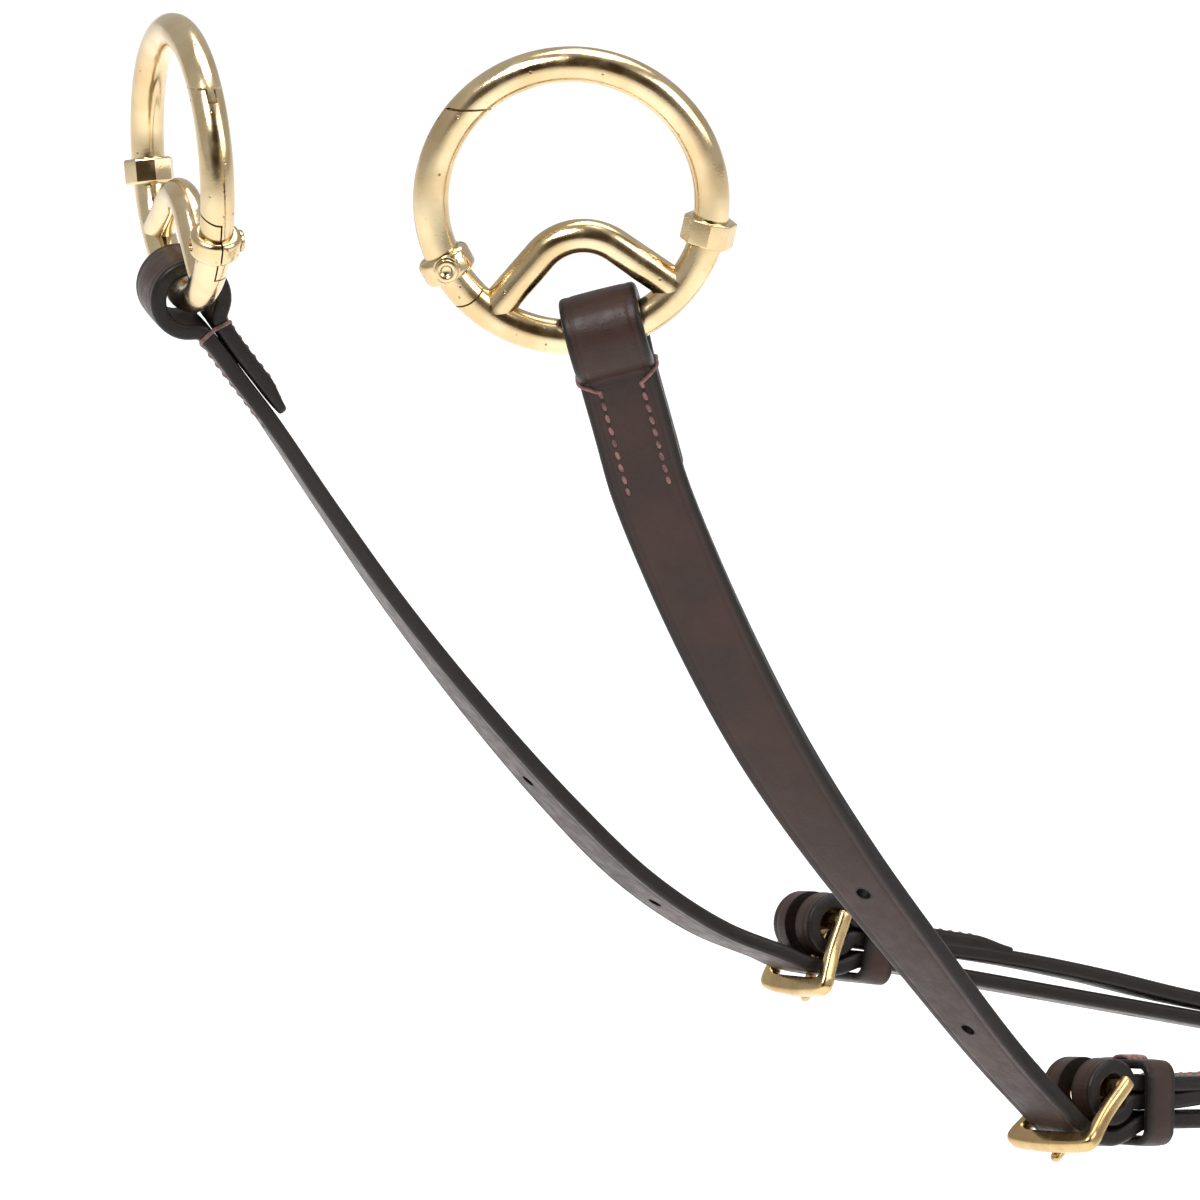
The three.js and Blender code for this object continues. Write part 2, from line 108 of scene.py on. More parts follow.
class Join(Enum):
    """How one solid works on another."""

    ADD = "UNION"
    CUT = "DIFFERENCE"
    KEEP = "INTERSECT"


# ---- numbers and vectors ----------------------------------------------------------------------


def vec(x: float, y: float, z: float) -> Array:
    """A point or direction."""
    return np.array([x, y, z], float)


def unit(v: Array) -> Array:
    """The direction of v."""
    return v / np.linalg.norm(v, axis=-1, keepdims=True)


def rad(degrees: float) -> float:
    """Degrees as radians."""
    return math.radians(degrees)


def ease(value: Array | float) -> Array:
    """A smooth step from 0 to 1 as value goes from 0 to 1."""
    t = np.clip(value, 0.0, 1.0)
    return t * t * (3 - 2 * t)


def quarter_round(share: Array) -> Array:
    """Rises like a quarter circle from 0 to 1, as the share does."""
    return np.sqrt(1 - (1 - np.clip(share, 0.0, 1.0)) ** 2)


def srgb(red: int, green: int, blue: int) -> Colour:
    """A display colour, 0 to 255, as the linear colour that shaders take."""

    def linear(value: int) -> float:
        """One channel."""
        share = value / 255
        return share / 12.92 if share <= 0.04045 else ((share + 0.055) / 1.055) ** 2.4

    return linear(red), linear(green), linear(blue)


def hermite(knots: Array, values: Array, at: Array) -> Array:
    """A smooth curve through values.

    Args:
        knots: The rising parameter of each value.
        values: One row for each knot.
        at: The parameters to read.

    Returns:
        One row for each entry of at.
    """
    gaps = np.diff(knots)
    slopes = np.diff(values, axis=0) / gaps[:, None]
    before, after = gaps[:-1, None], gaps[1:, None]
    inner = (slopes[:-1] * after + slopes[1:] * before) / (before + after)
    rates = np.vstack([slopes[:1], inner, slopes[-1:]])
    i = np.clip(np.searchsorted(knots, at, "right") - 1, 0, len(gaps) - 1)
    gap = gaps[i][:, None]
    t = ((at - knots[i]) / gaps[i])[:, None]
    return (
        (2 * t**3 - 3 * t**2 + 1) * values[i]
        + (t**3 - 2 * t**2 + t) * gap * rates[i]
        + (3 * t**2 - 2 * t**3) * values[i + 1]
        + (t**3 - t**2) * gap * rates[i + 1]
    )


# ---- node trees -------------------------------------------------------------------------------


class Graph:
    """A node tree being wired."""

    def __init__(self, tree: bpy.types.NodeTree) -> None:
        """Starts on an emptied tree."""
        self.tree = tree
        tree.nodes.clear()

    def add(self, kind: str, inputs: dict[int | str, Any] | None = None, **settings: Any) -> Node:
        """Adds a node.

        Args:
            kind: The node's type.
            inputs: A value, or a socket to link, for each input by name or index.
            settings: The node's own settings.

        Returns:
            The node.
        """
        node = self.tree.nodes.new(kind)
        for name, value in settings.items():
            setattr(node, name, value)
        for key, value in (inputs or {}).items():
            if isinstance(value, Socket):
                self.tree.links.new(value, node.inputs[key])
            else:
                node.inputs[key].default_value = value
        return node


class Shading(Graph):
    """A material's tree, with the steps that these finishes share."""

    MIX_A, MIX_B, MIX_OUT = 6, 7, 2

    def __init__(self, material: bpy.types.Material) -> None:
        """Starts with the shader and its output."""
        material.use_nodes = True
        super().__init__(material.node_tree)
        self.shader = self.add("ShaderNodeBsdfPrincipled")
        self.add("ShaderNodeOutputMaterial", {"Surface": self.shader.outputs["BSDF"]})

    def object_place(self) -> Socket:
        """The place on the object, in metres."""
        return self.add("ShaderNodeTexCoord").outputs["Object"]

    def attribute(self, name: str) -> Node:
        """An attribute of the mesh."""
        return self.add("ShaderNodeAttribute", attribute_name=name)

    def stretch(self, place: Socket, scale: tuple[float, float, float]) -> Socket:
        """The place with each axis scaled."""
        return self.add("ShaderNodeMapping", {"Vector": place, "Scale": scale}).outputs[0]

    def noise(self, place: Socket, scale: float, detail: float = 2.0) -> Socket:
        """Soft noise, about 0.3 to 0.7."""
        return self.add(
            "ShaderNodeTexNoise", {"Vector": place, "Scale": scale, "Detail": detail}
        ).outputs["Fac"]

    def cells(self, place: Socket, scale: float) -> Socket:
        """The distance to the nearest of many scattered points."""
        return self.add("ShaderNodeTexVoronoi", {"Vector": place, "Scale": scale}).outputs[
            "Distance"
        ]

    def spread(self, value: Socket, low: float, high: float, to_low: float, to_high: float) -> Socket:
        """Maps low..high to to_low..to_high, smoothly and clamped."""
        return self.add(
            "ShaderNodeMapRange",
            {0: value, 1: low, 2: high, 3: to_low, 4: to_high},
            interpolation_type="SMOOTHSTEP",
        ).outputs[0]

    def math(self, operation: str, a: Socket | float, b: Socket | float) -> Socket:
        """One step of arithmetic."""
        return self.add("ShaderNodeMath", {0: a, 1: b}, operation=operation).outputs[0]

    def mix(self, share: Socket, a: Socket | Colour, b: Socket | Colour) -> Socket:
        """Colour a turning into b as share goes from 0 to 1."""
        ends = {
            key: value if isinstance(value, Socket) else (*value, 1.0)
            for key, value in ((self.MIX_A, a), (self.MIX_B, b))
        }
        return self.add("ShaderNodeMix", {0: share, **ends}, data_type="RGBA").outputs[self.MIX_OUT]

    def bump(self, height: Socket, depth: float, under: Socket | None = None) -> Socket:
        """Relief of a depth in metres, over any relief under it."""
        inputs = {"Height": height, "Strength": 1.0, "Distance": depth}
        if under is not None:
            inputs["Normal"] = under
        return self.add("ShaderNodeBump", inputs).outputs[0]

    def feed(self, **sockets: Socket) -> None:
        """Links sockets to the shader, with spaces written as underscores."""
        for name, socket in sockets.items():
            self.tree.links.new(socket, self.shader.inputs[name.replace("_", " ")])

    def set(self, **values: Any) -> None:
        """Sets the shader's own values, with spaces written as underscores."""
        for name, value in values.items():
            self.shader.inputs[name.replace("_", " ")].default_value = value


# ---- finishes ---------------------------------------------------------------------------------


@dataclass(frozen=True)
class Finish:
    """A surface's look. Each kind wires its own tree."""

    name: str

    def material(self) -> bpy.types.Material:
        """The finish's material, made once."""
        made = bpy.data.materials.get(self.name)
        if made is None:
            made = bpy.data.materials.new(self.name)
            self.wire(Shading(made))
        return made

    def wire(self, tree: Shading) -> None:
        """Builds the tree."""
        raise NotImplementedError


@dataclass(frozen=True)
class Brass(Finish):
    """Cast brass, hand polished: soft tone patches, fine scratches, pits and handling marks."""

    pale: Colour
    warm: Colour
    pit: Colour
    smooth: float
    dull: float

    def wire(self, tree: Shading) -> None:
        """Builds the tree."""
        place = tree.object_place()
        patches = tree.spread(tree.noise(place, 95.0, 3.0), 0.35, 0.68, 0.0, 1.0)
        speckle = tree.spread(tree.noise(place, 1500.0, 2.0), 0.62, 0.74, 0.0, 1.0)
        pits = tree.spread(tree.cells(place, 420.0), 0.05, 0.14, 1.0, 0.0)
        sparse = tree.spread(tree.noise(place, 260.0, 1.0), 0.5, 0.6, 0.0, 1.0)
        marks = tree.math("MULTIPLY", pits, sparse)
        tone = tree.mix(patches, self.pale, self.warm)
        tone = tree.mix(tree.math("MULTIPLY", speckle, 0.6), tone, self.warm)
        tone = tree.mix(tree.math("MULTIPLY", marks, 0.75), tone, self.pit)
        worn = tree.spread(tree.noise(place, 330.0, 4.0), 0.32, 0.7, self.smooth, self.dull)
        rough = tree.math("ADD", worn, tree.math("MULTIPLY", marks, 0.2))
        swell = tree.bump(tree.noise(place, 130.0, 1.0), 0.00012)
        grain = tree.bump(tree.noise(place, 2600.0, 3.0), 0.000012, swell)
        relief = tree.bump(tree.math("SUBTRACT", 1.0, marks), 0.00006, grain)
        tree.set(Metallic=1.0)
        tree.feed(Base_Color=tone, Roughness=rough, Normal=relief)


@dataclass(frozen=True)
class Leather(Finish):
    """Waxed bridle leather: a close grain, burnished edges, creased lines and a napped flesh side.

    It reads the strap's own place, and its edge, crease, flesh and bend, from the mesh.
    """

    face: Colour
    blush: Colour
    edge: Colour
    shadow: Colour
    flesh: Colour

    def wire(self, tree: Shading) -> None:
        """Builds the tree."""
        place = tree.attribute("place").outputs["Vector"]
        edge = tree.attribute("edge").outputs["Fac"]
        crease = tree.attribute("crease").outputs["Fac"]
        flesh = tree.attribute("flesh").outputs["Fac"]
        bend = tree.attribute("bend").outputs["Fac"]
        rim = tree.attribute("rim").outputs["Fac"]
        cloud = tree.spread(tree.noise(place, 75.0, 4.0), 0.34, 0.7, 0.0, 1.0)
        fibre = tree.noise(tree.stretch(place, (1.0, 0.16, 1.0)), 900.0, 3.0)
        wrinkle = tree.noise(tree.stretch(place, (0.16, 1.0, 1.0)), 1100.0, 3.0)
        grain = tree.cells(place, 1700.0)
        nap = tree.noise(place, 3200.0, 4.0)
        pore = tree.spread(grain, 0.0, 0.34, 1.0, 0.0)
        tone = tree.mix(cloud, self.face, self.blush)
        # Lighter and redder where the strap bends: partly leather pull-up, and partly a painted highlight on
        # the loops.
        tone = tree.mix(tree.math("MULTIPLY", bend, 0.45), tone, self.blush)
        tone = tree.mix(tree.math("MULTIPLY", pore, 0.3), tone, self.shadow)
        tone = tree.mix(tree.math("MULTIPLY", flesh, tree.spread(nap, 0.3, 0.7, 0.4, 1.0)), tone, self.flesh)
        tone = tree.mix(tree.spread(crease, 0.1, 0.9, 0.0, 0.2), tone, self.shadow)
        tone = tree.mix(tree.spread(edge, 0.0, 1.0, 0.0, 0.92), tone, self.edge)
        tone = tree.mix(tree.spread(rim, 0.2, 0.9, 0.0, 0.85), tone, self.shadow)
        rough = tree.spread(tree.noise(place, 420.0, 3.0), 0.3, 0.7, 0.38, 0.52)
        rough = tree.math("ADD", rough, tree.math("MULTIPLY", flesh, 0.24))
        rough = tree.math("SUBTRACT", rough, tree.math("MULTIPLY", edge, 0.05))
        height = tree.math("MULTIPLY", pore, -0.55)
        height = tree.math("ADD", height, tree.math("MULTIPLY", fibre, 0.5))
        height = tree.math("ADD", height, tree.math("MULTIPLY", tree.math("MULTIPLY", wrinkle, bend), 1.9))
        height = tree.math("ADD", height, tree.math("MULTIPLY", tree.math("MULTIPLY", nap, flesh), 1.6))
        swell = tree.bump(tree.noise(place, 210.0, 2.0), 0.00012)
        tree.set(Specular_IOR_Level=0.2, Coat_Weight=0.07, Coat_Roughness=0.3)
        tree.feed(Base_Color=tone, Roughness=rough, Normal=tree.bump(height, 0.00007, swell))


@dataclass(frozen=True)
class Thread(Finish):
    """Waxed linen thread, with its fibres and grubby low spots."""

    bright: Colour
    grubby: Colour

    def wire(self, tree: Shading) -> None:
        """Builds the tree."""
        place = tree.object_place()
        fibre = tree.noise(place, 5200.0, 3.0)
        dirt = tree.spread(tree.noise(place, 700.0, 2.0), 0.35, 0.65, 0.0, 1.0)
        tree.set(Sheen_Weight=0.2)
        tree.feed(
            Base_Color=tree.mix(dirt, self.bright, self.grubby),
            Roughness=tree.spread(fibre, 0.3, 0.7, 0.5, 0.75),
            Normal=tree.bump(fibre, 0.00006),
        )


@dataclass(frozen=True)
class SpringSteel(Finish):
    """Drawn steel wire with faint lines and oil stains."""

    bright: Colour
    stain: Colour

    def wire(self, tree: Shading) -> None:
        """Builds the tree."""
        place = tree.object_place()
        oil = tree.spread(tree.noise(place, 900.0, 3.0), 0.4, 0.65, 0.0, 1.0)
        tree.set(Metallic=1.0)
        tree.feed(
            Base_Color=tree.mix(oil, self.bright, self.stain),
            Roughness=tree.spread(tree.noise(place, 3000.0, 2.0), 0.3, 0.7, 0.22, 0.4),
            Normal=tree.bump(tree.noise(place, 6000.0, 2.0), 0.00001),
        )


@dataclass(frozen=True)
class PaleCard(Finish):
    """The studio's plain pale floor, which glows a little."""

    tone: Colour
    glow: float

    def wire(self, tree: Shading) -> None:
        """Builds the tree."""
        place = tree.object_place()
        tree.set(Base_Color=(*self.tone, 1.0))
        tree.set(Emission_Color=(1.0, 1.0, 1.0, 1.0), Emission_Strength=self.glow)
        tree.feed(Roughness=tree.spread(tree.noise(place, 40.0, 2.0), 0.3, 0.7, 0.85, 0.95))


CLIP_BRASS = Brass(
    "pale_clip_brass",
    pale=(0.72, 0.58, 0.36),
    warm=(0.58, 0.43, 0.23),
    pit=(0.16, 0.1, 0.05),
    smooth=0.12,
    dull=0.24,
)
BUCKLE_BRASS = Brass(
    "yellow_buckle_brass",
    pale=(0.62, 0.45, 0.22),
    warm=(0.45, 0.3, 0.13),
    pit=(0.12, 0.07, 0.03),
    smooth=0.18,
    dull=0.32,
)
HAVANA = Leather(
    "havana_bridle_leather",
    face=srgb(47, 34, 30),
    blush=srgb(57, 38, 33),
    edge=srgb(25, 22, 20),
    shadow=srgb(18, 12, 11),
    flesh=srgb(56, 44, 38),
)
LINEN = Thread("waxed_linen_thread", bright=srgb(132, 88, 80), grubby=srgb(86, 56, 51))
STEEL = SpringSteel("oiled_spring_steel", bright=(0.6, 0.6, 0.58), stain=(0.3, 0.26, 0.2))
FLOOR = PaleCard("pale_studio_card", tone=(0.9, 0.9, 0.9), glow=0.45)


# ---- solids -----------------------------------------------------------------------------------


def mesh_of(points: Array, faces: Sequence[Sequence[int]]) -> bpy.types.Mesh:
    """A mesh with its faces turned outwards."""
    mesh = bpy.data.meshes.new("work")
    mesh.from_pydata(np.asarray(points).tolist(), [], [list(f) for f in faces])
    work = bmesh.new()
    work.from_mesh(mesh)
    bmesh.ops.recalc_face_normals(work, faces=work.faces)
    work.to_mesh(mesh)
    work.free()
    return mesh


def show(name: str, mesh: bpy.types.Mesh) -> Object:
    """A new object for a mesh, linked to the scene."""
    made = bpy.data.objects.new(name, mesh)
    bpy.context.scene.collection.objects.link(made)
    return made


def evaluated_mesh(holder: Object) -> bpy.types.Mesh:
    """The plain mesh that an object's modifiers make."""
    graph = bpy.context.evaluated_depsgraph_get()
    return bpy.data.meshes.new_from_object(
        holder.evaluated_get(graph), preserve_all_data_layers=True, depsgraph=graph
    )


class Solid:
    """A closed mesh in the making, in millimetres. +, - and & join, cut and keep what is shared."""

    def __init__(self, mesh: bpy.types.Mesh) -> None:
        """Takes over a closed mesh."""
        self.mesh = mesh

    def worked(self, other: Solid, join: Join) -> Solid:
        """This solid after another has worked on it."""
        base, tool = show("base", self.mesh.copy()), show("tool", other.mesh)
        step = base.modifiers.new("join", "BOOLEAN")
        step.operation = join.value
        step.solver = "MANIFOLD"
        step.object = tool
        result = evaluated_mesh(base)
        bpy.data.objects.remove(base)
        bpy.data.objects.remove(tool)
        if not result.polygons:
            raise ValueError(f"{join.name} left nothing")
        return Solid(result)

    def __add__(self, other: Solid) -> Solid:
        """Both solids as one."""
        return self.worked(other, Join.ADD)

    def __sub__(self, other: Solid) -> Solid:
        """This solid with the other cut away."""
        return self.worked(other, Join.CUT)

    def __and__(self, other: Solid) -> Solid:
        """What both solids share."""
        return self.worked(other, Join.KEEP)

    def placed(self, matrix: Matrix) -> Solid:
        """A copy, moved by a matrix."""
        mesh = self.mesh.copy()
        mesh.transform(matrix)
        return Solid(mesh)


def finished(mesh: bpy.types.Mesh, name: str, finish: Finish, sharp: float = 34.0) -> Object:
    """An object in metres, smooth shaded, with its finish.

    Args:
        mesh: A closed mesh in millimetres.
        name: The piece's name.
        finish: Its look.
        sharp: The angle, in degrees, from which an edge stays crisp.

    Returns:
        The object, at the origin.
    """
    mesh.transform(Matrix.Scale(MM, 4))
    mesh.name = name
    mesh.polygons.foreach_set("use_smooth", [True] * len(mesh.polygons))
    mesh.set_sharp_from_angle(angle=rad(sharp))
    mesh.materials.clear()
    mesh.materials.append(finish.material())
    mesh.update()
    return show(name, mesh)


def skin(rings: Array, closed: bool = False) -> bpy.types.Mesh:
    """The surface through a row of rings of points.

    Args:
        rings: Rings by points by 3.
        closed: Whether the last ring meets the first. If not, both ends are capped.

    Returns:
        A closed mesh.
    """
    count, around = rings.shape[:2]
    steps = count if closed else count - 1
    faces = []
    for i in range(steps):
        a, b = i * around, ((i + 1) % count) * around
        for j in range(around):
            k = (j + 1) % around
            faces.append((a + j, a + k, b + k, b + j))
    if not closed:
        faces.append(tuple(reversed(range(around))))
        faces.append(tuple(range((count - 1) * around, count * around)))
    return mesh_of(rings.reshape(-1, 3), faces)


def circle(radius: float, sides: int) -> Array:
    """The points of a round section."""
    a = 2 * np.pi * (np.arange(sides) + 0.5) / sides
    return radius * np.stack([np.cos(a), np.sin(a)], axis=1)


def sweep(section: Array, places: Array, across: Array, closed: bool = False) -> Solid:
    """A section carried along a line.

    Args:
        section: Its points, across and out; or such points for each place.
        places: The points of the line.
        across: The direction of the section's first axis at each of them.
        closed: Whether the line is a loop.

    Returns:
        The solid.
    """
    if closed:
        along = unit(np.roll(places, -1, 0) - np.roll(places, 1, 0))
    else:
        along = unit(np.gradient(places, axis=0))
    flat = unit(across - along * np.sum(across * along, axis=1, keepdims=True))
    out = np.cross(along, flat)
    rings = places[:, None] + section[..., :1] * flat[:, None] + section[..., 1:] * out[:, None]
    return Solid(skin(rings, closed))


def turned(profile: Sequence[tuple[float, float]], sides: int, axis: Array, centre: Array) -> Solid:
    """A turned solid.

    Args:
        profile: Radius and height points. It starts and ends on the axis, or closes on itself.
        sides: How many steps round.
        axis: The direction of height.
        centre: Where height is 0.

    Returns:
        The solid.
    """
    points: list[tuple[float, float, float]] = []
    rows: list[list[int]] = []
    for radius, height in profile:
        if radius < 1e-9:
            rows.append([len(points)] * sides)
            points.append((0.0, 0.0, height))
            continue
        rows.append([len(points) + j for j in range(sides)])
        for j in range(sides):
            a = 2 * math.pi * j / sides
            points.append((radius * math.cos(a), radius * math.sin(a), height))
    pairs = list(zip(rows, rows[1:]))
    if profile[0][0] > 1e-9:
        pairs.append((rows[-1], rows[0]))
    faces = []
    for low, high in pairs:
        for j in range(sides):
            k = (j + 1) % sides
            corners = (low[j], low[k], high[k], high[j])
            kept = tuple(dict.fromkeys(corners))
            if len(kept) > 2:
                faces.append(kept)
    mesh = mesh_of(np.array(points), faces)
    turn = Vector((0, 0, 1)).rotation_difference(Vector(axis)).to_matrix().to_4x4()
    mesh.transform(Matrix.Translation(Vector(centre)) @ turn)
    return Solid(mesh)


def rounded_profile(radius: float, low: float, high: float, soft: float) -> list[tuple[float, float]]:
    """A plain cylinder's profile with its rims rounded by soft."""
    arc = [rad(a) for a in (0, 18, 36, 54, 72, 90)]
    rise = [(radius - soft + soft * math.sin(a), low + soft - soft * math.cos(a)) for a in arc]
    fall = [(r, high + low - h) for r, h in reversed(rise)]
    return [(0.0, low), *rise, *fall, (0.0, high)]


def rod(radius: float, axis: Array, low: float, high: float, centre: Array, sides: int = 48) -> Solid:
    """A plain round bar along an axis, from low to high along it."""
    profile = [(0.0, low), (radius, low), (radius, high), (0.0, high)]
    return turned(profile, sides, axis, centre)


def slab(size: tuple[float, float, float], centre: Array, matrix: Matrix) -> Solid:
    """A box of a size about a centre, moved by a matrix."""
    half = np.array(size) / 2
    signs = np.array([(x, y, z) for x in (-1, 1) for y in (-1, 1) for z in (-1, 1)])
    faces = [(0, 1, 3, 2), (4, 6, 7, 5), (0, 4, 5, 1), (2, 3, 7, 6), (0, 2, 6, 4), (1, 5, 7, 3)]
    mesh = mesh_of(centre + signs * half, faces)
    mesh.transform(matrix)
    return Solid(mesh)


def frame_matrix(x: Array, y: Array, z: Array, origin: Array) -> Matrix:
    """The matrix whose axes and origin these are."""
    rows = [[x[i], y[i], z[i], origin[i]] for i in range(3)]
    return Matrix([*rows, [0, 0, 0, 1]])


# ---- Geometry Nodes ---------------------------------------------------------------------------


class Recipe(Graph):
    """A Geometry Nodes tree that makes what repeats. It ends in Realize Instances and Set Material."""

    FLOAT, INT, GEOMETRY = "NodeSocketFloat", "NodeSocketInt", "NodeSocketGeometry"

    def __init__(self, name: str, finish: Finish, **sizes: float | int) -> None:
        """Names the tree's inputs.

        Args:
            name: The tree's name.
            finish: The look of what it makes.
            sizes: A default for each named size, in metres or as a count.
        """
        super().__init__(bpy.data.node_groups.new(name, "GeometryNodeTree"))
        self.finish = finish
        self.tree.interface.new_socket("Path", in_out="INPUT", socket_type=self.GEOMETRY)
        for key, value in sizes.items():
            kind = self.INT if isinstance(value, int) else self.FLOAT
            made = self.tree.interface.new_socket(key, in_out="INPUT", socket_type=kind)
            made.default_value = value
        self.tree.interface.new_socket("Made", in_out="OUTPUT", socket_type=self.GEOMETRY)
        self.inputs = self.add("NodeGroupInput").outputs

    def close(self, made: Socket) -> Recipe:
        """Ends the tree, and returns it."""
        smooth = self.add("GeometryNodeSetShadeSmooth", {"Geometry": made})
        real = self.add("GeometryNodeRealizeInstances", {"Geometry": smooth.outputs[0]})
        dressed = self.add("GeometryNodeSetMaterial", {"Geometry": real.outputs[0]})
        dressed.inputs["Material"].default_value = self.finish.material()
        self.add("NodeGroupOutput", {0: dressed.outputs[0]})
        return self

    def math(self, operation: str, a: Socket | float, b: Socket | float) -> Socket:
        """One step of arithmetic."""
        return self.add("ShaderNodeMath", {0: a, 1: b}, operation=operation).outputs[0]

    def point(self, x: Socket | float, y: Socket | float, z: Socket | float) -> Socket:
        """A vector from its parts."""
        return self.add("ShaderNodeCombineXYZ", {0: x, 1: y, 2: z}).outputs[0]

    def tube(self, path: Socket, radius: Socket, sides: Socket | int) -> Socket:
        """A round tube along a curve, its ends filled."""
        round_ = self.add("GeometryNodeCurvePrimitiveCircle", {"Resolution": sides, "Radius": radius})
        made = self.add(
            "GeometryNodeCurveToMesh",
            {"Curve": path, "Profile Curve": round_.outputs[0], "Fill Caps": True},
        )
        return made.outputs[0]

    def bake(self, path: bpy.types.Mesh, **sizes: float | int) -> bpy.types.Mesh:
        """Runs the tree.

        Args:
            path: The mesh that it starts from, in metres. It may be empty.
            sizes: Values for the named inputs.

        Returns:
            The plain mesh that it makes, in metres.
        """
        holder = show("holder", path)
        step = holder.modifiers.new("recipe", "NODES")
        step.node_group = self.tree
        for item in self.tree.interface.items_tree:
            if item.item_type == "SOCKET" and item.in_out == "INPUT" and item.name in sizes:
                step[item.identifier] = sizes[item.name]
        made = evaluated_mesh(holder)
        holder.modifiers.remove(step)
        bpy.data.objects.remove(holder)
        return made


def stitch_recipe() -> Recipe:
    """Slanting stitches along sewn lines. The path's "out" attribute points away from the leather."""
    tree = Recipe(
        "stitch_run", LINEN, Pitch=0.0021, Long=0.0018, Thread=0.00038, Rise=0.0006, Slant=0.16, Seed=7
    )
    size = tree.inputs
    line = tree.add("GeometryNodeMeshToCurve", {"Mesh": size["Path"]})
    spaced = tree.add(
        "GeometryNodeResampleCurve", {"Curve": line.outputs[0], "Length": size["Pitch"]}, mode="LENGTH"
    )
    half = tree.math("MULTIPLY", size["Long"], 0.5)
    under = tree.math("MULTIPLY", size["Thread"], -1.6)
    arch = tree.add(
        "GeometryNodeCurveQuadraticBezier",
        {
            "Resolution": 7,
            "Start": tree.point(tree.math("MULTIPLY", half, -1.0), 0.0, under),
            "Middle": tree.point(0.0, 0.0, size["Rise"]),
            "End": tree.point(half, 0.0, under),
        },
    )
    thread = tree.tube(arch.outputs[0], size["Thread"], 7)
    out = tree.add("GeometryNodeInputNamedAttribute", {"Name": "out"}, data_type="FLOAT_VECTOR")
    heading = tree.add("GeometryNodeInputTangent")
    facing = tree.add(
        "FunctionNodeAxesToRotation",
        {"Primary Axis": out.outputs[0], "Secondary Axis": heading.outputs[0]},
        primary_axis="Z",
        secondary_axis="X",
    )
    wander = tree.add("FunctionNodeRandomValue", {"Seed": size["Seed"]}, data_type="FLOAT")
    wander.inputs[2].default_value = 0.6
    wander.inputs[3].default_value = 1.4
    slant = tree.math("MULTIPLY", size["Slant"], wander.outputs[1])
    lean = tree.add(
        "FunctionNodeRotateRotation",
        {"Rotation": facing.outputs[0], "Rotate By": tree.point(0.0, 0.0, slant)},
        rotation_space="LOCAL",
    )
    placed = tree.add(
        "GeometryNodeInstanceOnPoints",
        {"Points": spaced.outputs[0], "Instance": thread, "Rotation": lean.outputs[0]},
    )
    return tree.close(placed.outputs[0])


def thread_recipe() -> Recipe:
    """A thread laid along each path."""
    tree = Recipe("laid_thread", LINEN, Thread=0.00036)
    line = tree.add("GeometryNodeMeshToCurve", {"Mesh": tree.inputs["Path"]})
    smooth = tree.add("GeometryNodeCurveSplineType", {"Curve": line.outputs[0]}, spline_type="CATMULL_ROM")
    return tree.close(tree.tube(smooth.outputs[0], tree.inputs["Thread"], 7))


def punch_recipe() -> Recipe:
    """A row of round punches along Y, for cutting holes."""
    tree = Recipe("punch_row", HAVANA, First=0.0, Pitch=0.03, Count=2, Radius=0.0013, Depth=0.01)
    size = tree.inputs
    row = tree.add(
        "GeometryNodeMeshLine",
        {
            "Count": size["Count"],
            "Start Location": tree.point(0.0, size["First"], 0.0),
            "Offset": tree.point(0.0, size["Pitch"], 0.0),
        },
    )
    tool = tree.add(
        "GeometryNodeMeshCylinder", {"Vertices": 28, "Radius": size["Radius"], "Depth": size["Depth"]}
    )
    placed = tree.add("GeometryNodeInstanceOnPoints", {"Points": row.outputs[0], "Instance": tool.outputs[0]})
    return tree.close(placed.outputs[0])


def ring_recipe(finish: Finish) -> Recipe:
    """A round wire bent into a closed ring in the XY plane."""
    tree = Recipe(f"wire_ring_{finish.name}", finish, Radius=0.02, Wire=0.002)
    loop = tree.add(
        "GeometryNodeCurvePrimitiveCircle", {"Resolution": 160, "Radius": tree.inputs["Radius"]}
    )
    return tree.close(tree.tube(loop.outputs[0], tree.inputs["Wire"], 36))


def coil_recipe() -> Recipe:
    """A coiled spring about Z."""
    tree = Recipe("wire_coil", STEEL, Radius=0.002, Height=0.0015, Turns=2.5, Wire=0.00024)
    size = tree.inputs
    coil = tree.add(
        "GeometryNodeCurveSpiral",
        {
            "Resolution": 40,
            "Rotations": size["Turns"],
            "Start Radius": size["Radius"],
            "End Radius": size["Radius"],
            "Height": size["Height"],
        },
    )
    return tree.close(tree.tube(coil.outputs[0], size["Wire"], 10))


# ---- routes -----------------------------------------------------------------------------------


@dataclass(frozen=True)
class Station:
    """A place on a route and the direction across the strap there."""

    place: Array
    across: Array


